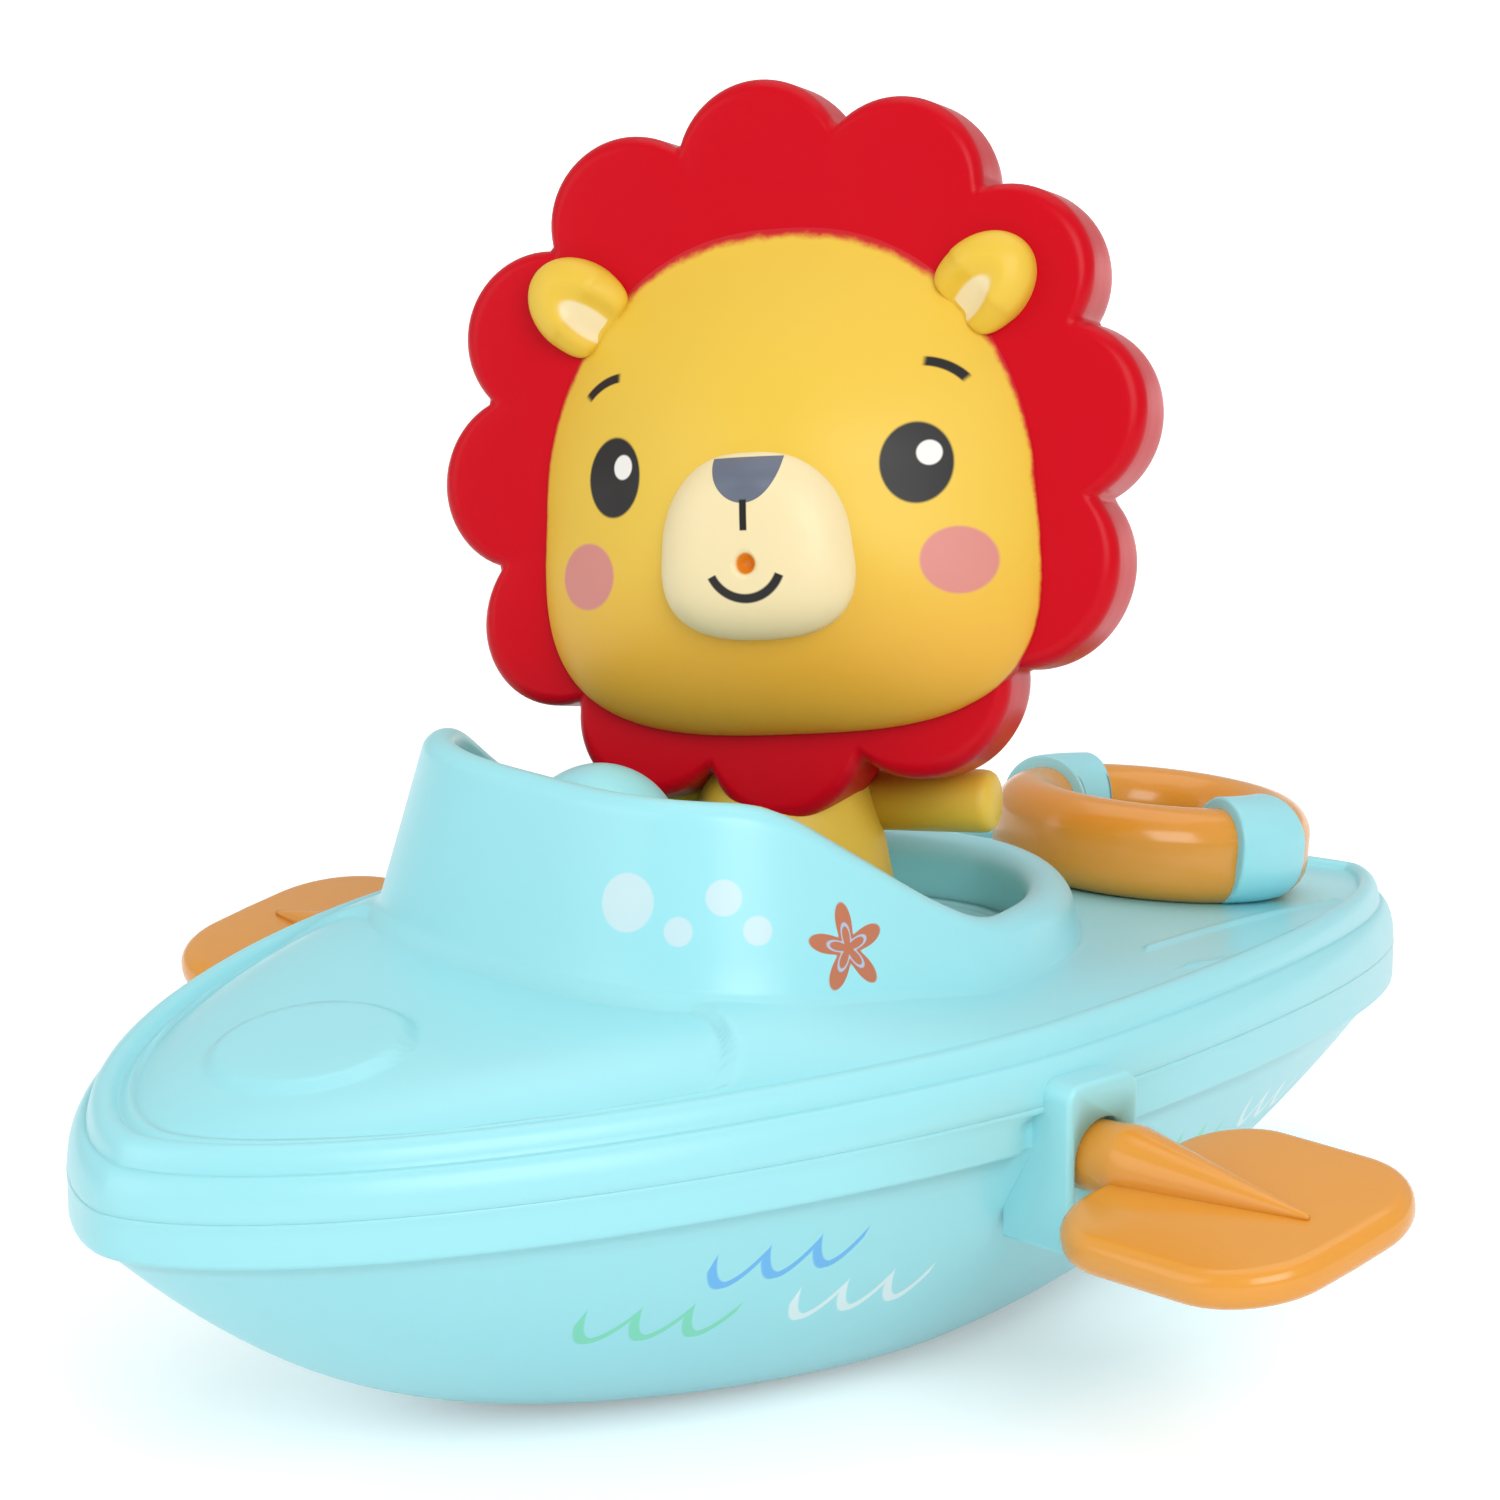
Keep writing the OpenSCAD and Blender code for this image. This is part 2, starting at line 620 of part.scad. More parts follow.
module pull_ring() {
    color(orange) on_ring() difference() {
        rotate_extrude($fn = 96) ring_section(0);
        translate([-ring_mid, 0, -1]) cylinder(h = 1 + cord_in + 0.1, r = cord_r + 0.1, $fn = 16);
    }
}
module ring_bands() {
    color(aqua) on_ring() for (a = [90, 270]) rotate([0, 0, a]) ring_wrap(32, ring_band_t);
}
module pull_cord() {
    color(grey) on_ring() translate([-ring_mid, 0, 0.1 - stub])
        cylinder(h = stub - 0.1 + cord_in, r = cord_r, $fn = 16);
}
module cord_guide() {
    color(white) translate([cord_x, 0, deck_mid(cord_x)]) rotate([0, -ring_tilt, 0]) difference() {
        union() {
            translate([0, 0, -3.2]) cylinder(h = 3.2, r = guide_r, $fn = 32);
            translate([0, 0, -wall - 1.4]) cylinder(h = 1, r = guide_flange, $fn = 32);
        }
        cylinder(h = 12, r = cord_r + 0.3, center = true, $fn = 24);
    }
}
// Cord inside the hull, from the guide to the top of the drum
module cord_run() {
    low = stub + 0.8;
    a = [ring_x - ring_mid*cos(ring_tilt) + low*sin(ring_tilt), 0,
        ring_seat - ring_mid*sin(ring_tilt) - low*cos(ring_tilt)];
    b = [arbor_x, cord_y, arbor_z + drum_r + winding_t + cord_r + 0.1];
    d = b - a;
    len = norm(d);
    color(grey) translate(a) rotate([0, acos(d.z/len), atan2(d.y, d.x)])
        cylinder(h = len, r = cord_r, $fn = 16);
}

// Figure
module on_head() {
    translate([fig_x, 0, head_z]) rotate([head_roll, -head_pitch, head_yaw]) children();
}
function lobe(a) = let (f = ((a - lobe_turn + 375)%30) - 15)
    lobe_d*cos(f) + sqrt(pow(lobe_r, 2) - pow(lobe_d*sin(f), 2));
mane_steps = [[-21, 26], [-19.4, 17], [-17, 9.5], [-14.2, 4.2], [-12.2, 1.6], [-10, 0.3], [-8, 0], [-2, 0],
    [-0.9, 0.5], [-0.25, 1.2], [0, 2.2]];
function mane_ring(w, i) = [for (j = [0:n_mane - 1]) let (a = 360*j/n_mane, r = lobe(a) - i)
    [w, r*cos(a), r*sin(a)]];
face_b = face_a - 0.3;
face_drop = 4;
face_flare = 0.15;
face_steps = [1, 0.985, 0.95, 0.89, 0.8, 0.68, 0.54, 0.38, 0.22, 0.07];
function face_ring(k) = [for (j = [0:n_face - 1]) let (
    a = 360*j/n_face,
    c = cos(a),
    s = sin(a),
    e = s > 0 ? 0.833 : 0.667)
    [face_rise*pow(cos(90*k), 0.85 + 0.35*s), k*face_a*spow(c, e)*(1 - face_flare*s),
        k*face_b*spow(s, e) - face_drop]];
muzzle_a = 9.6;
muzzle_b = 9.85;
muzzle_drop = 11.15;
muzzle_out = face_rise + 2.7;
muzzle_steps = [[-10, 1], [-4.7, 1], [-2.8, 0.96], [-1.3, 0.85], [-0.4, 0.66], [-0.05, 0.4], [0, 0.14]];
function muzzle_ring(w, k) = [for (j = [0:23]) let (c = cos(15*j), s = sin(15*j))
    [muzzle_out + w, k*muzzle_a*c*(1 - 0.28*s), k*muzzle_b*s - muzzle_drop]];
nose_a = 3.65;
nose_b = 2.55;
nose_drop = 4.15;
nose_steps = [[-6, 1], [-2.4, 1], [-1.1, 0.86], [-0.3, 0.55], [0, 0.2]];
function nose_ring(w, k) = [for (j = [0:23])
    [muzzle_out + 0.8 + w, k*nose_a*cos(15*j), k*nose_b*sin(15*j) - nose_drop]];
ear_y = 22.7;
ear_z = 15.2;
ear_r = 5.2;
body_z = tub_floor + seat;
body_h = 25.5;
arm_z = 19.3;
arm_back = 5;
arm_r = 3.4;
arm_in = 7;
arm_l = 11.6;

module mane_solid() {
    on_head() skin([for (m = mane_steps) mane_ring(m.x, m.y)]);
}
module lion_mane() {
    color(red) difference() {
        mane_solid();
        torso();
        arms();
    }
}
module lion_head() {
    far = lobe_d + lobe_r;
    color(yellow) on_head() difference() {
        intersection() {
            union() {
                skin([for (k = face_steps) face_ring(k)]);
                skin([for (m = muzzle_steps) muzzle_ring(m.x, m.y)]);
                skin([for (m = nose_steps) nose_ring(m.x, m.y)]);
                for (s = [-1, 1]) translate([-0.2, s*ear_y, ear_z]) sphere(ear_r, $fn = 32);
            }
            translate([0, -far, -far]) cube(2*far);
        }
        for (s = [-1, 1]) translate([6.8, s*ear_y, ear_z]) sphere(4, $fn = 32);
        translate([9, 0, -muzzle_drop - 2.05]) rotate([0, 90, 0]) cylinder(h = 12, r = squirt_r, $fn = 24);
    }
}
module torso() {
    translate([fig_x, 0, body_z]) rotate([0, 0, head_yaw]) rotate_extrude($fn = 48)
        polygon([[0, 0], [10.2, 0], [11.2, 1], [11.8, 5], [11.6, 10], [10.6, 15], [9, 20], [7.4, body_h],
            [0, body_h]]);
}
module arms() {
    translate([fig_x, 0, body_z + arm_z]) rotate([0, 0, head_yaw]) for (s = [-1, 1])
        translate([-arm_back, s*arm_in, 0]) rotate([-87*s, 0, 0]) {
            cylinder(h = arm_l, r = arm_r, $fn = 32);
            translate([0, 0, arm_l]) sphere(arm_r, $fn = 32);
        }
}
module lion_body() {
    color(yellow) {
        torso();
        arms();
    }
}

hull_shell();
deck_shell();
cockpit_tub();
hull_screws();
axle_bush_port();
axle_bush_starboard();
paddle_axle();
axle_pinion();
paddle_port();
paddle_starboard();
motor_case_port();
motor_case_starboard();
motor_screws();
idler_pin();
idler_gear();
arbor_pin();
drive_gear();
clutch_spring();
cord_drum();
cord_winding();
mainspring();
cord_guide();
cord_run();
pull_cord();
pull_ring();
ring_bands();
lion_body();
lion_head();
lion_mane();
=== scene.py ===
"""Dressing for the toy boat: smooth shells, paddles, pull ring, figure, finishes and studio."""

import math

import bmesh
import bpy
from mathutils import Euler, Matrix, Vector


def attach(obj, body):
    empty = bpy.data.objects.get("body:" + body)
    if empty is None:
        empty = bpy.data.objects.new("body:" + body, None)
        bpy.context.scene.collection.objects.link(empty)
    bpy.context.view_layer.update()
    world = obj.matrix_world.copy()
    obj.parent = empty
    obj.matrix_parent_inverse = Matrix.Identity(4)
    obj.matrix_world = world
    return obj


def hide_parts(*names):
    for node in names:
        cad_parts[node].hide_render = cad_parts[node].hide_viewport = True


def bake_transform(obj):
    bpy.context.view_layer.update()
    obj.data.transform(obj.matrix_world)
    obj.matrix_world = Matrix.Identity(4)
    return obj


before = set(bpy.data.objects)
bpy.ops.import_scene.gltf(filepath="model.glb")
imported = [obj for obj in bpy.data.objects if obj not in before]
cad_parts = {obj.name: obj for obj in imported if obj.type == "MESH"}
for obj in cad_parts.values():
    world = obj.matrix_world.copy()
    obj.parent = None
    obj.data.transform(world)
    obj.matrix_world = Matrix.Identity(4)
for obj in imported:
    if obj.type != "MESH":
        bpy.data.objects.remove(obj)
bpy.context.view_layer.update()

bl_info = {
    "name": "Toy boat dressing",
    "version": (1, 0, 0),
    "blender": (4, 5, 0),
    "location": "3D View > Sidebar > Toy boat",
    "description": "Builds the finished look of a bath toy boat around its packed part",
    "category": "Object",
}

MM = 0.001


def srgb(red, green, blue):
    """A colour given in display bytes, as scene-linear values."""
    parts = []
    for byte in (red, green, blue):
        level = byte / 255
        parts.append(level / 12.92 if level <= 0.04045 else ((level + 0.055) / 1.055) ** 2.4)
    return tuple(parts)


def size(description, millimetres):
    """A length that the user can change, given in millimetres."""
    return bpy.props.FloatProperty(
        description=description, default=millimetres * MM, unit="LENGTH", precision=5
    )


def angle(description, degrees):
    """An angle that the user can change, given in degrees."""
    return bpy.props.FloatProperty(
        description=description, default=math.radians(degrees), subtype="ANGLE"
    )


def share(description, value):
    """A plain number that the user can change."""
    return bpy.props.FloatProperty(description=description, default=value)


def tint(description, red, green, blue):
    """A colour that the user can change, given in display bytes."""
    return bpy.props.FloatVectorProperty(
        description=description, default=srgb(red, green, blue), size=3,
        subtype="COLOR", min=0.0, max=1.0,
    )


# Sizes and colours


class HullSettings(bpy.types.PropertyGroup):
    """Lower shell."""

    length: size("Length along the parting line", 191.7)
    width: size("Width along the parting line", 96.0)
    beam_ahead: size("Widest station ahead of mid length", 9.45)
    sheer: size("Height of the parting line at the widest station", 36.0)
    bow_drop: size("Fall of the parting line at the bow", 3.6)
    stern_drop: size("Fall of the parting line at the stern", 10.8)
    wall: size("Wall thickness", 2.2)
    band: size("Height of the rub band", 4.8)
    band_step: size("Step of the rub band from the side", 1.5)
    keel_back: size("How far the keel pad sits aft of the widest station", 8.0)
    bracket_face: size("Outer face of an axle bracket from the middle", 51.5)
    bracket_length: size("Length of an axle bracket", 10.4)
    bracket_top: size("Height of a bracket above the parting line", 2.6)
    bracket_low: size("Underside of a bracket below the axle", 9.6)
    arch: size("Radius of the arch round the paddle hub", 4.3)
    colour: tint("Aqua plastic", 155, 223, 231)
    wave_blue: tint("Blue wave print", 88, 172, 236)
    wave_green: tint("Green wave print", 112, 214, 176)
    wave_white: tint("White wave print", 226, 240, 242)


class DeckSettings(bpy.types.PropertyGroup):
    """Upper shell."""

    edge: size("Height of the deck edge above the parting line", 5.8)
    crown: size("Extra height away from the edge", 4.2)
    crown_run: size("Distance over which the crown builds up", 9.0)
    crown_from: size("Station where the crown starts, ahead of mid length", -30.0)
    crown_over: size("Length over which the crown grows forward", 75.0)
    bead_in: size("Width of the gunwale bead from the parting line", 6.2)
    cabin_at: size("Middle of the cabin ahead of mid length", 7.5)
    cabin_front: size("Reach of the cabin forward", 37.0)
    cabin_aft: size("Reach of the cabin aft", 42.0)
    cabin_width: size("Width of the cabin at the deck", 67.0)
    foot_lift: size("Rise of the deck where it meets the front of the cabin", 1.9)
    rim_aft: size("Height of the rim at its aft end", 7.0)
    rim_rise: size("Extra height of the rim at its front", 14.0)
    rim_wall: size("Thickness of the cabin wall", 3.0)
    collar: share("Share by which the wall is thicker at its aft end", 1.0)
    rim_lean: share("Lean of the cabin wall for each unit of height", 0.25)
    floor: size("Height of the cockpit floor", 38.2)
    dash_radius: size("Radius of the dash hump", 8.6)
    dash_top: size("Height of the dash hump", 65.9)
    recess: size("Depth of the foredeck panel", 1.0)
    disc_at: size("Middle of the raised disc ahead of mid length", 69.0)
    disc_radius: size("Radius of the raised disc", 10.2)
    disc_rise: size("Height of the raised disc", 0.8)
    bubble: tint("Printed bubbles", 210, 226, 230)
    star: tint("Printed starfish", 190, 104, 60)


class PaddleSettings(bpy.types.PropertyGroup):
    """Paddles."""

    axle_at: size("Axle ahead of mid length", 7.5)
    axle_height: size("Height of the axle", 30.3)
    tip: size("Distance of the tips from the middle", 85.3)
    chord: size("Chord of a blade", 30.9)
    thickness: size("Thickness of a blade", 4.3)
    drop: size("Drop of the middle of a blade under the axle line", 2.4)
    hub: size("Radius of the hub", 3.8)
    tilt: angle("Turn of the blades at rest", 10.0)
    colour: tint("Orange plastic", 224, 152, 54)


class RingSettings(bpy.types.PropertyGroup):
    """Pull ring."""

    back: size("Middle of the ring aft of mid length", 55.5)
    across: size("Outer diameter", 36.0)
    section: size("Width of the section", 8.2)
    height: size("Height of the section", 10.6)
    foot: size("Corner radius of the section's foot", 3.6)
    band: size("Thickness of the bands", 1.3)
    lift: size("Seat gap above the deck", 0.35)
    cord_radius: size("Radius of the cord", 0.6)
    cord: tint("Cord colour", 168, 172, 180)


class FigureSettings(bpy.types.PropertyGroup):
    """Figure in the cockpit."""

    ahead: size("Middle of the figure ahead of mid length", 2.1)
    head: size("Height of the middle of the mane", 96.1)
    yaw: angle("Turn of the head to port", 27.5)
    pitch: angle("Lift of the face", 13.5)
    roll: angle("Lean of the head", 6.4)
    lobe_at: size("Distance of the mane lobes from the middle", 29.6)
    lobe_radius: size("Radius of a mane lobe", 9.3)
    lobe_turn: angle("Turn of the lobes round the face", 4.5)
    face: size("Half width of the face", 27.0)
    rise: size("Rise of the face above the mane", 13.5)
    muzzle_wide: size("Half width of the muzzle", 10.4)
    muzzle_high: size("Half height of the muzzle", 10.1)
    muzzle_down: size("Middle of the muzzle below the middle of the mane", 10.85)
    muzzle_out: size("Front of the muzzle above the mane", 16.2)
    red: tint("Mane", 198, 2, 24)
    yellow: tint("Face and body", 226, 188, 60)
    cream: tint("Muzzle and inner ears", 234, 217, 172)
    blush: tint("Cheeks", 208, 128, 128)
    dark: tint("Eyes, brows and mouth", 12, 8, 7)
    nose: tint("Nose", 98, 106, 122)


class StageSettings(bpy.types.PropertyGroup):
    """Studio and camera."""

    azimuth: angle("Camera turn round the boat", 135.77)
    elevation: angle("Camera height above the horizon", 13.96)
    distance: size("Camera distance from its target", 657.6)
    target: bpy.props.FloatVectorProperty(
        description="Point at the middle of the picture",
        default=(7.53 * MM, 0.0, 63.74 * MM), size=3, subtype="TRANSLATION",
    )
    lens: share("Focal length for a 36 mm sensor", 148.8)
    floor: tint("Floor and backdrop", 250, 250, 250)


GROUPS = {
    "boat_hull": HullSettings,
    "boat_deck": DeckSettings,
    "boat_paddle": PaddleSettings,
    "boat_ring": RingSettings,
    "boat_figure": FigureSettings,
    "boat_stage": StageSettings,
}


class Chosen:
    """Values of one property group, read from the open scene when they are asked for."""

    def __init__(self, name):
        self.name = name

    def __getattr__(self, key):
        return getattr(getattr(bpy.context.scene, self.name), key)


hull, deck, paddle, ring, figure, stage = [Chosen(name) for name in GROUPS]


# Form of the boat

# Superellipse exponents: along and across for the hull's ends, one for each half of the cabin
BOW_CURVES = (1.74, 1.65)
STERN_CURVES = (1.69, 1.30)
CABIN_FORE_CURVE = 3.2
CABIN_AFT_CURVE = 1.7
# Shares of the plan that the keel pad keeps along and across
PAD_LONG = 0.35
PAD_WIDE = 0.30
# Height of the small hollow where the deck meets the cabin wall
FOOT_HOLLOW = 1.0 * MM


def power(value, exponent):
    """A power that keeps the sign."""
    return math.copysign(abs(value) ** exponent, value)


def ease(value):
    """Smooth step from 0 to 1."""
    v = min(1.0, max(0.0, value))
    return v * v * (3 - 2 * v)


def plan(turn, inset):
    """Parting line from above, drawn in by inset."""
    c, s = math.cos(turn), math.sin(turn)
    fore = c >= 0
    reach = hull.length / 2 - hull.beam_ahead if fore else hull.length / 2 + hull.beam_ahead
    along, across = BOW_CURVES if fore else STERN_CURVES
    x = hull.beam_ahead + (reach - inset) * power(c, 2 / along)
    y = (hull.width / 2 - inset) * power(s, 2 / across)
    return x, y


def sheer(x):
    """Height of the parting line."""
    ahead = x - hull.beam_ahead
    if ahead >= 0:
        return hull.sheer - hull.bow_drop * (ahead / (hull.length / 2 - hull.beam_ahead)) ** 2
    return hull.sheer - hull.stern_drop * (ahead / (hull.length / 2 + hull.beam_ahead)) ** 2


def rim_point(turn, inset, height):
    """A point at a height above the parting line."""
    x, y = plan(turn, inset)
    return Vector((x, y, sheer(x) + height))


def keel_point(turn, rise, inset, base):
    """A point of the lower hull, rise runs from the keel pad to the rub band."""
    x, y = plan(turn, inset)
    along = PAD_LONG + (1 - PAD_LONG) * rise
    across = PAD_WIDE + (1 - PAD_WIDE) * rise
    top = sheer(x) - hull.band
    return Vector((
        hull.beam_ahead - hull.keel_back * (1 - along) + (x - hull.beam_ahead) * along,
        y * across,
        base + (top - base) * rise * rise,
    ))


def cabin(turn, inset):
    """Cabin outline at the deck, drawn in by inset."""
    c, s = math.cos(turn), math.sin(turn)
    fore = c >= 0
    exponent = 2 / (CABIN_FORE_CURVE if fore else CABIN_AFT_CURVE)
    reach = deck.cabin_front if fore else deck.cabin_aft
    return (
        deck.cabin_at + (reach - inset) * power(c, exponent),
        (deck.cabin_width / 2 - inset) * power(s, exponent),
    )


def swell(distance, x):
    """Rise of the crowned deck at a distance from its edge, growing forward."""
    grown = deck.crown * ease((x - deck.crown_from) / deck.crown_over)
    return grown * (1 - math.exp(-distance / deck.crown_run))


def deck_middle(x):
    """Height of the deck on the middle line."""
    ends = hull.length / 2 - deck.bead_in
    return sheer(x) + deck.edge + swell(ends - x if x > deck.cabin_at else ends + x, x)


def panel_depth(x, y):
    """Share of the foredeck panel's depth at a point of the deck."""
    corner = 8 * MM
    start = 39.5 * MM
    half = 34.5 * MM
    edge = 1.2 * MM
    dx = max(0.0, start + corner - x)
    dy = max(0.0, abs(y) - half + corner)
    outside = math.hypot(dx, dy) - corner
    return ease(0.5 - outside / edge)


def disc_rise(x, y):
    """Share of the raised disc's height at a point of the deck."""
    edge = 0.9 * MM
    out = math.hypot(x - deck.disc_at, y) - deck.disc_radius
    return ease(0.5 - out / edge)


def plank_ridge(x, y):
    """Share of the thin plank ridges of the aft deck, whose ends are given in millimetres."""
    half = 0.8
    best = 0.0
    for near, far, start, end in ((27.5, 16.3, -25.0, -71.0), (34.6, 35.5, -24.0, -36.0)):
        along = (x / MM - start) / (end - start)
        if 0 <= along <= 1:
            line = near + (far - near) * along
            best = max(best, ease(1 - abs(abs(y) / MM - line) / half))
    return best


def deck_point(turn, part, drop=0.0):
    """A point of the deck, part runs from its edge to the cabin."""
    ax, ay = plan(turn, deck.bead_in)
    bx, by = cabin(turn, 0.0)
    x, y = ax + (bx - ax) * part, ay + (by - ay) * part
    run = math.hypot(bx - ax, by - ay) * part
    z = sheer(x) + deck.edge + swell(run, x) - drop
    if drop == 0.0 and 0.0 < part < 1.0:
        bead_foot, ledge_run, plank_rise = 1.2 * MM, 0.8 * MM, 0.35 * MM
        ledge = ease((run - bead_foot) / ledge_run)
        z += deck.disc_rise * disc_rise(x, y) - deck.recess * ledge * panel_depth(x, y)
        z += plank_rise * plank_ridge(x, y)
    return Vector((x, y, z))


def foot_rise(turn):
    """Extra height of the deck where it sweeps up to the cabin wall."""
    least, start, run = 0.4 * MM, 4 * MM, 22 * MM
    x = cabin(turn, 0.0)[0]
    return least + deck.foot_lift * ease((x - start) / run)


def deck_skin(turn, part):
    """A point of the deck's upper face, swept up towards the cabin."""
    point = deck_point(turn, part)
    point.z += foot_rise(turn) * part
    return point


def rim_height(x):
    """Height of the cabin rim above the deck."""
    start, run = deck.cabin_at - 9.5 * MM, 39 * MM
    return deck.rim_aft + deck.rim_rise * ease((x - start) / run)


def wall_thickness(turn):
    """Thickness of the cabin wall, growing into a collar at its aft end."""
    start, run = 0.1, 0.9
    return deck.rim_wall * (1 + deck.collar * ease((-math.cos(turn) - start) / run))


def wall_point(turn, high, depth):
    """A point of the cabin wall at a height above the deck and a depth into the wall."""
    x, y = cabin(turn, deck.rim_lean * high + depth)
    return Vector((x, y, deck_point(turn, 1.0).z + high))


def lip_point(turn, roll):
    """A point of the rounded rim, roll runs from the outer face over the top to the inner face."""
    half = wall_thickness(turn) / 2
    high = rim_height(deck_point(turn, 1.0).x) - half * (1 - math.sin(roll))
    return wall_point(turn, high, half * (1 - math.cos(roll)))


def side_point(turn, part, inner):
    """A point of the cabin wall between the deck and its rounded rim."""
    thick = wall_thickness(turn)
    top = rim_height(deck_point(turn, 1.0).x) - thick / 2
    foot = 0.0 if inner else foot_rise(turn) + FOOT_HOLLOW
    return wall_point(turn, foot + (top - foot) * part, thick if inner else 0.0)


def foot_point(turn, up):
    """A point of the small hollow where the deck meets the wall, up runs from 0 to 1."""
    rise = foot_rise(turn)
    lean = deck.rim_lean * rise
    return wall_point(turn, rise + up * FOOT_HOLLOW, -lean * (1 - up) ** 2)


def coaming_point(turn, extra, drop):
    """A point inside the cabin wall at a depth below the deck."""
    x, y = cabin(turn, wall_thickness(turn) + extra)
    return Vector((x, y, deck_point(turn, 1.0).z - drop))


# Mesh helpers

SIDES = ((1, "port"), (-1, "starboard"))


def quarter(steps):
    """Angles of a quarter turn."""
    return [math.pi / 2 * step / steps for step in range(steps + 1)]


def row(form, *sizes):
    """One row of a wrapped grid: a form with its sizes given, waiting for the turn."""
    return lambda turn: form(turn, *sizes)


def wrapped(around, rows):
    """A grid bent into a ring of rows, each a function of the turn, with its seam and ends closed."""
    bm = bmesh.new()
    made = bmesh.ops.create_grid(bm, x_segments=around, y_segments=len(rows) - 1, size=1.0)
    digits = 5
    across = sorted({round(v.co.x, digits) for v in made["verts"]})
    up = sorted({round(v.co.y, digits) for v in made["verts"]})
    column = {value: index for index, value in enumerate(across)}
    level = {value: index for index, value in enumerate(up)}
    steps = len(across) - 1
    for v in made["verts"]:
        turn = math.pi + math.tau * column[round(v.co.x, digits)] / steps
        v.co = rows[level[round(v.co.y, digits)]](turn)
    bmesh.ops.remove_doubles(bm, verts=made["verts"], dist=2e-6)
    close_holes(bm)
    return bm


def close_holes(bm):
    """Caps on the open ends of a form."""
    edges = [e for e in bm.edges if e.is_boundary]
    if edges:
        bmesh.ops.holes_fill(bm, edges=edges, sides=0)


def mirror(bm):
    """The form moved over to the starboard side."""
    bmesh.ops.scale(bm, vec=(1, -1, 1), verts=bm.verts)


def soften(bm, edges, radius, segments):
    """Rounded edges."""
    bmesh.ops.bevel(
        bm, geom=edges, offset=radius, segments=segments, profile=0.5, affect="EDGES", material=-1
    )


def piece(bm, name, material, body, nodes=()):
    """A finished piece made from a bmesh, riding on a body if one is named, standing for CAD nodes."""
    bmesh.ops.recalc_face_normals(bm, faces=bm.faces)
    for face in bm.faces:
        face.smooth = True
    mesh = bpy.data.meshes.new(name)
    bm.to_mesh(mesh)
    bm.free()
    mesh.materials.append(material)
    made = bpy.data.objects.new(name, mesh)
    bpy.context.scene.collection.objects.link(made)
    if body:
        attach(made, body)
    if nodes:
        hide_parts(*nodes)
    return made


def dress(material, *nodes):
    """A finish on CAD nodes that stay as they are."""
    for node in nodes:
        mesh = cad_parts[node].data
        mesh.materials.clear()
        mesh.materials.append(material)


def lathe(bm, profile, steps, place):
    """A turned form: profile holds radius and height, place puts it in the frame."""
    old = set(bm.verts)
    made = [bm.verts.new((radius, 0.0, height)) for radius, height in profile]
    edges = [bm.edges.new(pair) for pair in zip(made, made[1:])]
    bmesh.ops.spin(
        bm, geom=made + edges, cent=(0, 0, 0), axis=(0, 0, 1), angle=math.tau, steps=steps, use_merge=True
    )
    bmesh.ops.remove_doubles(bm, verts=[v for v in bm.verts if v not in old], dist=1e-6)
    bmesh.ops.transform(bm, matrix=place, verts=[v for v in bm.verts if v not in old])


# Finishes


class Value:
    """A number worked out by the nodes of a finish: arithmetic on it adds nodes."""

    def __init__(self, finish, socket):
        self.finish = finish
        self.socket = socket

    def __add__(self, other):
        return self.finish.math("ADD", self, other)

    def __sub__(self, other):
        return self.finish.math("SUBTRACT", self, other)

    def __rsub__(self, other):
        return self.finish.math("SUBTRACT", other, self)

    def __mul__(self, other):
        return self.finish.math("MULTIPLY", self, other)

    def __truediv__(self, other):
        return self.finish.math("DIVIDE", self, other)

    def __abs__(self):
        return self.finish.math("ABSOLUTE", self)

    __radd__ = __add__
    __rmul__ = __mul__


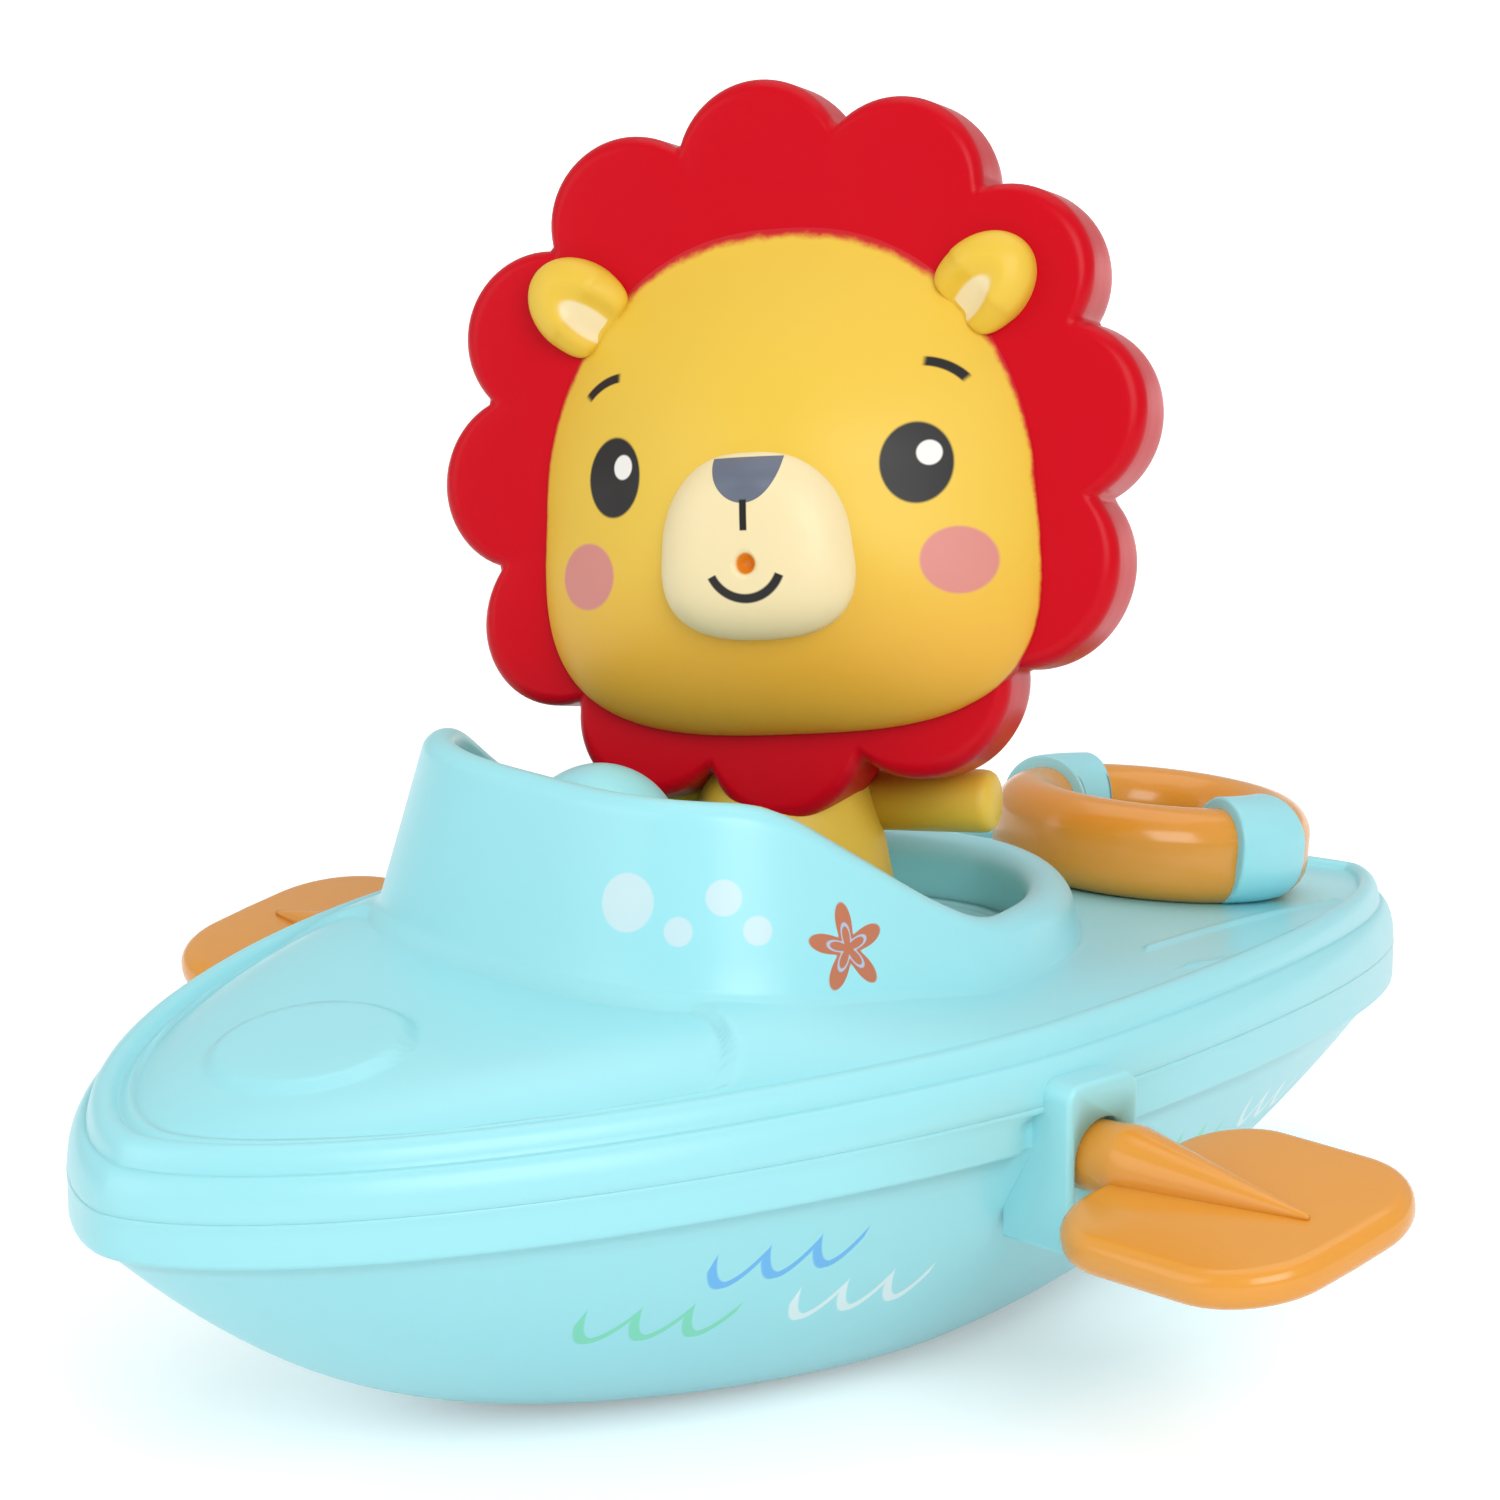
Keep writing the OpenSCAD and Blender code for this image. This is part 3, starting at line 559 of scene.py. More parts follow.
class Finish:
    """A node material under construction."""

    def __init__(self, name):
        self.material = bpy.data.materials.new(name)
        self.material.use_nodes = True
        self.tree = self.material.node_tree
        self.tree.nodes.clear()
        output = self.node("ShaderNodeOutputMaterial")
        self.shader = self.node("ShaderNodeBsdfPrincipled")
        self.tree.links.new(self.shader.outputs["BSDF"], output.inputs["Surface"])

    def node(self, kind, inputs=None, **choices):
        """A new node with its choices made and its inputs filled."""
        made = self.tree.nodes.new(kind)
        for key, value in choices.items():
            setattr(made, key, value)
        self.fill(made, inputs or {})
        return made

    def fill(self, made, inputs):
        """Inputs of a node, by name or number, from plain numbers or from outputs of other nodes."""
        for key, value in inputs.items():
            if isinstance(value, Value):
                self.tree.links.new(value.socket, made.inputs[key])
            else:
                made.inputs[key].default_value = value

    def result(self, output, kind, inputs=None, **choices):
        """The value of one output of a new node."""
        return Value(self, self.node(kind, inputs, **choices).outputs[output])

    def split(self, vector):
        """The three parts of a vector."""
        parts = self.node("ShaderNodeSeparateXYZ", {0: vector}).outputs
        return [Value(self, parts[key]) for key in "XYZ"]

    def math(self, operation, *values):
        return self.result(0, "ShaderNodeMath", dict(enumerate(values)), operation=operation)

    def hypot(self, a, b):
        return self.math("SQRT", a * a + b * b)

    def step(self, value, low, high):
        """1 where value is below low, falling smoothly to 0 at high."""
        inputs = {"Value": value, "From Min": low, "From Max": high, "To Min": 1.0, "To Max": 0.0}
        return self.result("Result", "ShaderNodeMapRange", inputs, interpolation_type="SMOOTHSTEP")

    def range(self, value, low, high):
        """A value from 0 to 1 spread from low to high."""
        inputs = {"Value": value, "To Min": low, "To Max": high}
        return self.result("Result", "ShaderNodeMapRange", inputs)

    def mix(self, factor, a, b):
        """Colour a turning into colour b, each with three or four values or from a node."""
        first, second = [
            (*value, 1.0) if isinstance(value, tuple) and len(value) == 3 else value for value in (a, b)
        ]
        return self.result(2, "ShaderNodeMix", {0: factor, 6: first, 7: second}, data_type="RGBA")

    def where(self):
        """Object coordinates."""
        return self.result("Object", "ShaderNodeTexCoord")

    def place(self, fold=True):
        """Object coordinates in millimetres, split, with both sides folded onto port if wanted."""
        inputs = {0: self.where(), "Scale": 1 / MM}
        x, y, z = self.split(self.result(0, "ShaderNodeVectorMath", inputs, operation="SCALE"))
        return x, abs(y) if fold else y, z

    def attribute(self, name):
        """A vector stored on the mesh, split into three."""
        return self.split(self.result("Vector", "ShaderNodeAttribute", attribute_name=name))

    def noise(self, scale, detail=4.0, roughness=0.55):
        inputs = {"Vector": self.where(), "Scale": scale, "Detail": detail, "Roughness": roughness}
        return self.result("Fac", "ShaderNodeTexNoise", inputs)

    def spot(self, along, up, centre, radii, soft, turn=0.0):
        """Mask of a soft-edged ellipse, sizes in millimetres."""
        du = along - centre[0]
        dv = up - centre[1]
        c, s = math.cos(turn), math.sin(turn)
        a = du * c + dv * s
        b = dv * c - du * s
        far = self.hypot(a / radii[0], b / radii[1])
        edge = soft / min(radii)
        return self.step(far, 1 - edge, 1 + edge)

    def stroke(self, along, up, centre, radius, half_angle, middle, width, soft=0.12):
        """Mask of a stroke along an arc of a circle, angles in degrees."""
        du = along - centre[0]
        dv = up - centre[1]
        far = self.hypot(du, dv)
        off = abs(far - radius)
        line = self.step(off, width / 2 - soft, width / 2 + soft)
        c, s = math.cos(math.radians(middle)), math.sin(math.radians(middle))
        front = du * c + dv * s
        least = 0.001
        facing = front / self.math("MAXIMUM", far, least)
        limit, fade = math.cos(math.radians(half_angle)), 0.02
        near = 1.0 - self.step(facing, limit - fade, limit + fade)
        return line * near

    def moulded(self, colour, rough=0.32, sheen=0.5, soft=0.12, grain=900.0, bump=0.02):
        """Moulded plastic: clouded roughness, faint orange peel and some light inside."""
        clouds = self.noise(scale=60.0)
        relief = {"Strength": bump, "Distance": 0.2 * MM, "Height": self.noise(grain, detail=3.0)}
        self.fill(self.shader, {
            "Base Color": (*colour, 1.0) if isinstance(colour, tuple) else colour,
            "Roughness": self.range(clouds, rough - 0.05, rough + 0.07),
            "Specular IOR Level": sheen,
            "Subsurface Weight": soft,
            "Subsurface Radius": (1.0, 1.0, 1.0),
            "Subsurface Scale": 2 * MM,
            "Normal": self.result("Normal", "ShaderNodeBump", relief),
        })
        return self.material


def wave_mask(finish, along, up, start, count, cup, depth, width):
    """Mask of a row of cupped wave strokes: start holds its left end, its top and its slant."""
    steeper, thinner, soft = 1.3, 0.35, 0.12
    run = start[0] - along
    rise = up - start[1]
    part = finish.math("FRACT", run / cup)
    swing = part * 2.0 - 1.0
    curve = (swing * swing - 1.0) * depth
    slant = run * start[2]
    off = abs(rise - (curve + slant))
    steep = 1.0 + abs(swing) * steeper
    thin = 1.0 - part * thinner
    near = off / (steep * thin)
    line = finish.step(near, width / 2 - soft, width / 2 + soft)
    begun = finish.math("GREATER_THAN", run, 0.0)
    unended = finish.math("LESS_THAN", run, cup * count)
    return line * (begun * unended)


def hull_finish():
    """Aqua plastic with rows of printed waves, sizes in millimetres."""
    finish = Finish("aqua hull with waves")
    x, _, z = finish.place()
    ink = 0.9
    colour = (*hull.colour, 1.0)
    rows = (
        (hull.wave_green, (57.0, 18.9, -0.08)),
        (hull.wave_blue, (47.0, 24.3, 0.05)),
        (hull.wave_white, (34.6, 17.8, 0.0)),
        (hull.wave_green, (-13.0, 24.4, -0.12)),
        (hull.wave_white, (-35.0, 23.0, -0.12)),
    )
    for print_colour, start in rows:
        mask = wave_mask(finish, x, z, start, count=3, cup=5.5, depth=3.4, width=1.0)
        colour = finish.mix(mask * ink, colour, tuple(print_colour))
    return finish.moulded(colour)


def deck_finish():
    """Aqua plastic with printed bubbles and a starfish on the cabin sides, sizes in millimetres."""
    finish = Finish("aqua deck with bubbles")
    x, y, z = finish.place()
    soft, bubble_ink, star_ink, line_ink = 0.15, 0.75, 0.95, 0.75
    colour = (*hull.colour, 1.0)
    bubbles = (
        ((40.4, 15.95, 56.4), 3.0),
        ((38.6, 21.55, 54.1), 1.5),
        ((34.95, 24.4, 57.5), 1.85),
        ((32.8, 27.1, 54.2), 1.5),
    )
    point = finish.result(0, "ShaderNodeCombineXYZ", dict(enumerate(finish.place(fold=False))))
    for centre, radius in bubbles:
        inputs = {0: point, 1: centre}
        far = finish.result("Value", "ShaderNodeVectorMath", inputs, operation="DISTANCE")
        mask = finish.step(far, radius - soft, radius + soft)
        colour = finish.mix(mask * bubble_ink, colour, tuple(deck.bubble))
    star_at, star_high, least_out = 23.6, 51.3, 25.0
    arm_count, reach, arm = 5.0, 3.1, 1.5
    dx = star_at - x
    dz = z - star_high
    outer = finish.math("GREATER_THAN", y, least_out)
    far = finish.hypot(dx, dz)
    arms = finish.math("COSINE", finish.math("ARCTAN2", dx, dz) * arm_count)
    edge = reach + arms * arm
    mask = finish.step(far - edge, -soft, soft) * outer
    colour = finish.mix(mask * star_ink, colour, tuple(deck.star))
    # A pale line inside the star follows its edge
    line_share, line_full, line_end = 0.52, 0.1, 0.3
    off = abs(far - edge * line_share)
    line = finish.step(off, line_full, line_end) * mask
    colour = finish.mix(line * line_ink, colour, srgb(165, 208, 240))
    return finish.moulded(colour)


def plain_finish(name, colour, **choices):
    """One moulded colour."""
    return Finish(name).moulded(tuple(colour), **choices)


# Nose and squirt hole on the head's own coordinates, in millimetres from the middle of the mane
NOSE_TOP = -2.15
NOSE_WIDE = 3.8
NOSE_HIGH = 4.8
HOLE_AT = -13.2
VINYL = {"rough": 0.42, "sheen": 0.4, "soft": 0.1}


def face_finish():
    """Sprayed yellow face with printed eyes, brows and cheeks and painted shade towards the chin, on the
    head's own coordinates.
    """
    finish = Finish("sprayed face")
    u, v, w = finish.attribute("head")
    side = abs(u)
    worn = finish.noise(420.0, detail=6.0, roughness=0.7)
    clouds = finish.range(finish.noise(45.0), 0.0, 0.12)
    colour = finish.mix(clouds, tuple(figure.yellow), srgb(250, 208, 92))
    # Painted shade: the yellow turns orange-brown towards the chin, where the face curves away from the light
    chin = finish.step(v, -27.0, -8.0) * 0.7
    colour = finish.mix(chin, colour, srgb(226, 160, 48))
    fuzz = w + (worn - 0.5) * 0.8
    colour = finish.mix(finish.step(fuzz, 0.1, 0.7), colour, tuple(figure.red))
    eye_out = 16.5
    eye = finish.spot(side, v, (eye_out, -3.2), (3.45, 4.25), soft=0.15)
    brow = finish.stroke(side, v, (16.4, 1.5), radius=6.0, half_angle=22, middle=65, width=1.0)
    for mask in (eye, brow):
        colour = finish.mix(mask, colour, tuple(figure.dark))
    for s in (-1, 1):
        glint = finish.spot(u, v, (s * eye_out + 1.2, -2.2), (1.2, 1.3), soft=0.12)
        colour = finish.mix(glint, colour, srgb(236, 232, 226))
    cheek = finish.spot(side, v, (20.3, -13.4), (3.6, 3.5), soft=0.2)
    colour = finish.mix(cheek * 0.92, colour, tuple(figure.blush))
    return finish.moulded(colour, **VINYL)


def muzzle_finish():
    """Cream muzzle with a painted nose, the line under it, a smile and the squirt hole."""
    finish = Finish("sprayed muzzle")
    u, v, _ = finish.attribute("head")
    clouds = finish.range(finish.noise(45.0), 0.0, 0.1)
    colour = finish.mix(clouds, tuple(figure.cream), tuple(figure.yellow))
    nose = finish.spot(u, v, (0.0, NOSE_TOP), (NOSE_WIDE, NOSE_HIGH), soft=0.03)
    nose = nose * finish.step(v, NOSE_TOP, NOSE_TOP + 0.1)
    colour = finish.mix(nose, colour, tuple(figure.nose))
    smile = finish.stroke(u, v, (0.0, -12.8), radius=4.0, half_angle=66, middle=-90, width=0.95)
    line_at, line_half = -8.2, 1.5
    along = finish.step(abs(v - line_at), line_half, line_half + 0.2)
    line = finish.step(abs(u), 0.3, 0.46) * along
    for mask in (smile, line):
        colour = finish.mix(mask, colour, tuple(figure.dark))
    hole = finish.spot(u, v, (0.0, HOLE_AT), (1.0, 1.1), soft=0.12)
    colour = finish.mix(hole, colour, srgb(222, 134, 24))
    return finish.moulded(colour, **{**VINYL, "rough": 0.4})


def ear_finish():
    """Yellow ear with a cream patch inside."""
    finish = Finish("sprayed ear")
    u, v, w = finish.attribute("head")
    patch = finish.spot(abs(u), v, (21.0, 13.75), (3.3, 1.5), soft=0.2, turn=math.radians(40))
    patch = patch * finish.math("GREATER_THAN", w, 1.0)
    colour = finish.mix(patch, tuple(figure.yellow), tuple(figure.cream))
    return finish.moulded(colour, **VINYL)


def metal_finish(name, colour, rough):
    """Bare metal with a fine grain."""
    finish = Finish(name)
    finish.moulded(colour, rough=rough, soft=0.0, grain=2500.0, bump=0.05)
    finish.fill(finish.shader, {"Metallic": 1.0})
    return finish.material


def floor_finish():
    """Pale floor that glows for the camera, more so far away, where it meets the white backdrop."""
    finish = Finish("floor")
    camera, glossy, through = [
        finish.result(f"Is {ray} Ray", "ShaderNodeLightPath") for ray in ("Camera", "Glossy", "Transmission")
    ]
    seen = finish.math("MAXIMUM", finish.math("MAXIMUM", camera, glossy), through)
    away = finish.result("Value", "ShaderNodeVectorMath", {0: finish.where()}, operation="LENGTH")
    start, end, far_glow, near_loss = 0.2, 1.0, 0.9, 0.6
    glow = far_glow - finish.step(away, start, end) * near_loss
    finish.fill(finish.shader, {
        "Base Color": (*stage.floor, 1.0),
        "Roughness": 0.9,
        "Specular IOR Level": 0.0,
        "Emission Color": (1, 1, 1, 1),
        "Emission Strength": seen * glow,
    })
    return finish.material


# Operators


class BOAT_OT_hull(bpy.types.Operator):
    """Builds the lower shell with its rub band and axle brackets"""

    bl_idname = "boat.hull"
    bl_label = "Hull"

    def execute(self, context):
        rises = [0.0, 0.015] + [step / 22 for step in range(1, 23)]
        rows = [row(keel_point, rise, hull.band_step, 0.0) for rise in rises]
        edge = ((1.0, 0.0), (0.35, 0.06), (0.08, 0.3), (0.0, 0.7))
        rows += [row(self.band, part * hull.band_step, rise * MM - hull.band) for part, rise in edge]
        rows += [row(self.band, 0.0, -hull.band * part) for part in (0.6, 0.3)]
        lip = ((0.0, -0.7), (-0.06, -0.5), (-0.08, -0.3), (-0.05, -0.1), (0.04, 0.0))
        rows += [row(rim_point, inset * MM, height * MM) for inset, height in lip]
        rows.append(row(rim_point, hull.wall, 0.0))
        inside = (1.0, 0.85, 0.7, 0.5, 0.3, 0.15, 0.0)
        rows += [row(keel_point, rise, hull.band_step + hull.wall, hull.wall) for rise in inside]
        piece(wrapped(240, rows), "hull", hull_finish(), "boat", ["hull_shell"])
        aqua = plain_finish("aqua bracket", hull.colour)
        for s, name in reversed(SIDES):
            piece(self.bracket(s), "bracket_" + name, aqua, "boat")
        return {"FINISHED"}

    def band(self, turn, inset, height):
        """A point of the rub band, which runs out beside the axle brackets."""
        side, clear, run = 30 * MM, 6.3 * MM, 1.6 * MM
        x, y = plan(turn, 0.0)
        held = ease((abs(x - paddle.axle_at) - clear) / run) if abs(y) > side else 1.0
        return rim_point(turn, hull.band_step + (inset - hull.band_step) * held, height)

    def bracket(self, side):
        """A rounded block with an arch for the paddle hub, filled behind the arch."""
        half = hull.bracket_length / 2
        top = hull.sheer + hull.bracket_top - paddle.axle_height
        low = -hull.bracket_low
        corner = 2 * MM
        shoulder = [
            (half - corner * (1 - math.cos(t)), top - corner * (1 - math.sin(t))) for t in quarter(12)
        ]
        outline = [(half, low)] + shoulder + [(-x, z) for x, z in reversed(shoulder)]
        outline += [(-half, low), (-hull.arch, low)]
        for step in range(25):
            t = math.pi * step / 24
            outline.append((-hull.arch * math.cos(t), hull.arch * math.sin(t)))
        outline.append((hull.arch, low))
        fill, fill_low, fill_top = half - 0.5 * MM, low + 0.6 * MM, 5 * MM
        plug = [(fill, fill_low), (fill, fill_top), (-fill, fill_top), (-fill, fill_low)]
        bm = bmesh.new()
        for points, start, end in ((outline, 9.5 * MM, 0.0), (plug, 9.4 * MM, 3.0 * MM)):
            y = hull.bracket_face - start
            made = [bm.verts.new((paddle.axle_at + x, y, paddle.axle_height + z)) for x, z in points]
            face = bm.faces.new(made)
            grown = bmesh.ops.extrude_face_region(bm, geom=[face], use_keep_orig=True)["geom"]
            moved = [v for v in grown if isinstance(v, bmesh.types.BMVert)]
            bmesh.ops.translate(bm, verts=moved, vec=(0, start - end, 0))
            if points is outline:
                sharp = [e for e in bm.edges if e.calc_face_angle(0) > 1.0]
                outer = [e for e in sharp if all(self.off_arch(v) for v in e.verts)]
                soften(bm, outer, 0.6 * MM, segments=4)
        if side < 0:
            mirror(bm)
        return bm

    def off_arch(self, vert):
        """Whether a corner of the bracket lies away from its arch."""
        return abs(vert.co.x - paddle.axle_at) > hull.arch + 0.1 * MM or vert.co.z > hull.sheer


class BOAT_OT_deck(bpy.types.Operator):
    """Builds the upper shell: gunwale, crowned deck and cabin wall"""

    bl_idname = "boat.deck"
    bl_label = "Deck"

    def execute(self, context):
        wall = hull.wall
        gunwale = (
            (0.04, 0.0), (0.0, 0.06), (0.02, 0.8), (0.16, 1.8), (0.45, 2.75), (0.9, 3.55), (1.45, 4.1),
            (1.95, 4.35), (2.12, 4.28), (2.25, 4.42), (2.36, 4.95), (2.6, 5.7), (3.05, 6.35), (3.7, 6.75),
            (4.4, 6.82), (5.0, 6.62), (5.45, 6.2), (5.62, 5.92), (5.78, 5.78), (5.95, 5.76), (6.2, 5.8),
        )
        rows = [row(rim_point, inset * MM, height * MM) for inset, height in gunwale]
        rows += [row(deck_skin, step / 64) for step in range(1, 64)]
        rows += [row(foot_point, up) for up in (0.06, 0.3, 0.6, 1.0)]
        rows += [row(side_point, part, False) for part in (0.2, 0.42, 0.64, 0.82, 0.95)]
        rows += [row(lip_point, math.pi * step / 20) for step in range(21)]
        rows += [row(side_point, part, True) for part in (0.9, 0.7, 0.45, 0.2)]
        rows += [row(coaming_point, 0.0, drop) for drop in (0.0, wall)]
        rows += [row(deck_point, part, wall) for part in (0.85, 0.55, 0.25)]
        inside = ((6.8, 3.6), (4.2, 3.8), (3.0, 2.2), (2.2, 0.0), (0.04, 0.0))
        rows += [row(rim_point, inset * MM, height * MM) for inset, height in inside]
        piece(wrapped(320, rows), "deck", deck_finish(), "boat", ["deck_shell"])
        return {"FINISHED"}


class BOAT_OT_cockpit(bpy.types.Operator):
    """Builds the cockpit liner with its dash hump"""

    bl_idname = "boat.cockpit"
    bl_label = "Cockpit"

    def execute(self, context):
        gap, inner, fillet, under = 0.1 * MM, 1.6 * MM, 3 * MM, 1.5 * MM
        rows = [row(self.flat, 4 * MM, deck.floor - under), row(self.flat, gap, deck.floor + under)]
        rows += [row(coaming_point, extra, 0.2 * MM) for extra in (gap, inner)]
        for t in quarter(6):
            extra = inner + fillet * (1 - math.cos(t))
            rows.append(row(self.flat, extra, deck.floor + fillet * (1 - math.sin(t))))
        bm = wrapped(192, rows)
        radius = deck.dash_radius
        at = deck.cabin_at + deck.cabin_front - deck.rim_wall - 3.6 * MM - radius
        low = deck.floor - 0.2 * MM
        hump = [(0.0, low), (radius, low), (radius, deck.floor + 1.5 * MM)]
        hump += [(radius * math.cos(t), deck.dash_top - radius * (1 - math.sin(t))) for t in quarter(24)]
        lathe(bm, hump, 64, Matrix.Translation((at, 0, 0)))
        finish = plain_finish("aqua liner", hull.colour)
        piece(bm, "cockpit", finish, "boat", ["cockpit_tub"])
        return {"FINISHED"}

    def flat(self, turn, extra, height):
        """A point of the liner at a height, kept below the edge of the deck."""
        edge = coaming_point(turn, extra, 0.5 * MM)
        return Vector((edge.x, edge.y, min(height, edge.z)))


class BOAT_OT_paddles(bpy.types.Operator):
    """Builds both paddles with their ribs"""

    bl_idname = "boat.paddles"
    bl_label = "Paddles"

    def execute(self, context):
        finish = plain_finish("orange plastic", paddle.colour, rough=0.2, soft=0.1)
        for s, name in SIDES:
            bm = bmesh.new()
            self.blade(bm)
            self.rib(bm)
            bmesh.ops.transform(bm, matrix=Matrix.Rotation(paddle.tilt, 4, "Y"), verts=bm.verts)
            if s < 0:
                mirror(bm)
            bmesh.ops.translate(bm, verts=bm.verts, vec=(paddle.axle_at, 0, paddle.axle_height))
            piece(bm, "paddle_" + name + "_blade", finish, "paddles", ["paddle_" + name])
        return {"FINISHED"}

    def blade(self, bm):
        """A rounded plate drawn round five discs."""
        edge = 1.9 * MM
        flat = paddle.thickness / 2 - edge
        wide = paddle.chord / 2
        end, heel, shoulder = 7 * MM, 8.7 * MM, 10.8 * MM
        discs = [(0.0, paddle.tip - end, end)]
        for s in (-1, 1):
            discs.append((s * (wide - heel), paddle.tip - 22.2 * MM, heel))
            discs.append((s * (wide - shoulder), paddle.tip - 10.9 * MM, shoulder))
        points = []
        for x, y, radius in discs:
            for step in range(-6, 7):
                t = math.pi / 2 * step / 6
                made = bmesh.ops.create_circle(bm, segments=56, radius=radius - edge * (1 - math.cos(t)))
                level = math.copysign(flat, step) if step else 0.0
                height = level + edge * math.sin(t) - paddle.drop
                bmesh.ops.translate(bm, verts=made["verts"], vec=(x, y, height))
                points += made["verts"]
        bmesh.ops.convex_hull(bm, input=points)
        loose = [v for v in bm.verts if not v.link_faces]
        bmesh.ops.delete(bm, geom=loose, context="VERTS")
        wires = [e for e in bm.edges if not e.link_faces]
        bmesh.ops.delete(bm, geom=wires, context="EDGES")

    def rib(self, bm):
        """The hub and its tapered rib along the blade."""
        start, end = hull.bracket_face - 2.6 * MM, paddle.tip - 6.5 * MM
        wide, point, chamfer = 4.2 * MM, 0.3 * MM, 0.4 * MM
        profile = [(0.0, start), (paddle.hub - chamfer, start), (paddle.hub, start + chamfer)]
        for step in range(9):
            t = step / 8
            profile.append((paddle.hub + (wide - paddle.hub) * ease(t), start + (2 + 5 * t) * MM))
        full = profile[-1][1]
        for step in range(1, 13):
            t = step / 12
            profile.append((wide * (1 - t) + point * t, full + (end - full) * t))
        profile.append((0.0, end + 0.2 * MM))
        lathe(bm, profile, 48, Matrix.Rotation(-math.pi / 2, 4, "X"))


class BOAT_OT_ring(bpy.types.Operator):
    """Builds the pull ring with its bands and cord"""

    bl_idname = "boat.ring"
    bl_label = "Pull ring"

    def execute(self, context):
        orange = plain_finish("orange ring", paddle.colour, rough=0.2, soft=0.1)
        aqua = plain_finish("aqua band", hull.colour)
        cord = plain_finish("grey cord", ring.cord, rough=0.7, grain=4000.0, bump=0.4)
        piece(self.tube(0.0, math.tau, 0.0), "ring", orange, "ring", ["pull_ring"])
        half = math.radians(16)
        for s, name in SIDES:
            at = s * math.pi / 2
            bm = self.tube(at - half, at + half, ring.band)
            piece(bm, "ring_band_" + name, aqua, "ring", ["ring_bands"])
        self.cord(cord)
        dress(cord, "cord_run", "cord_winding")
        return {"FINISHED"}

    def seat(self):
        """Place of the ring on the sloping deck."""
        middle = (ring.across - ring.section) / 2
        ahead, behind = deck_middle(middle - ring.back), deck_middle(-middle - ring.back)
        tilt = math.atan((ahead - behind) / (2 * middle))
        height = (ahead + behind) / 2 + ring.lift
        return Matrix.Translation((-ring.back, 0, height)) @ Matrix.Rotation(-tilt, 4, "Y")

    def cord(self, finish):
        """The cord from the deck's guide into the ring as it sits on the deck."""
        place = self.seat() @ Matrix.Translation(((ring.section - ring.across) / 2, 0, 0))
        low, deck_face, high = -4.1 * MM, 0.2 * MM, 5.0 * MM
        steps = 32
        profile = [(0.0, low)]
        profile += [(ring.cord_radius, low + (deck_face - low) * step / steps) for step in range(steps + 1)]
        profile += [(ring.cord_radius, high), (0.0, high)]
        bm = bmesh.new()
        lathe(bm, profile, 16, place)
        made = piece(bm, "cord", finish, None, ["pull_cord"])
        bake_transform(made)

    def tube(self, start, end, grown):
        """A stretch of the ring's D section, grown outwards for a band."""
        half = ring.section / 2
        middle = ring.across / 2 - half
        corner = ring.foot + grown
        side = half + grown
        centre = ring.height - half
        foot = [(side - corner * (1 - math.sin(t)), corner * (1 - math.cos(t))) for t in quarter(6)]
        section = [(-x, z) for x, z in foot]
        for step in range(1, 24):
            t = math.pi * step / 24
            section.append((-side * math.cos(t), centre + side * math.sin(t)))
        section += reversed(foot)
        bm = bmesh.new()
        made = [bm.verts.new((middle + x, 0.0, z)) for x, z in section]
        edges = [bm.edges.new(pair) for pair in zip(made, made[1:] + made[:1])]
        whole = end - start > math.tau - 0.01
        bmesh.ops.rotate(bm, verts=made, matrix=Matrix.Rotation(start, 3, "Z"))
        bmesh.ops.spin(
            bm, geom=made + edges, cent=(0, 0, 0), axis=(0, 0, 1), angle=end - start,
            steps=128 if whole else 16, use_merge=whole,
        )
        if not whole:
            close_holes(bm)
            soften(bm, [e for e in bm.edges if e.calc_face_angle(0) > 1.2], 0.35 * MM, segments=2)
        bmesh.ops.transform(bm, matrix=self.seat(), verts=bm.verts)
        return bm


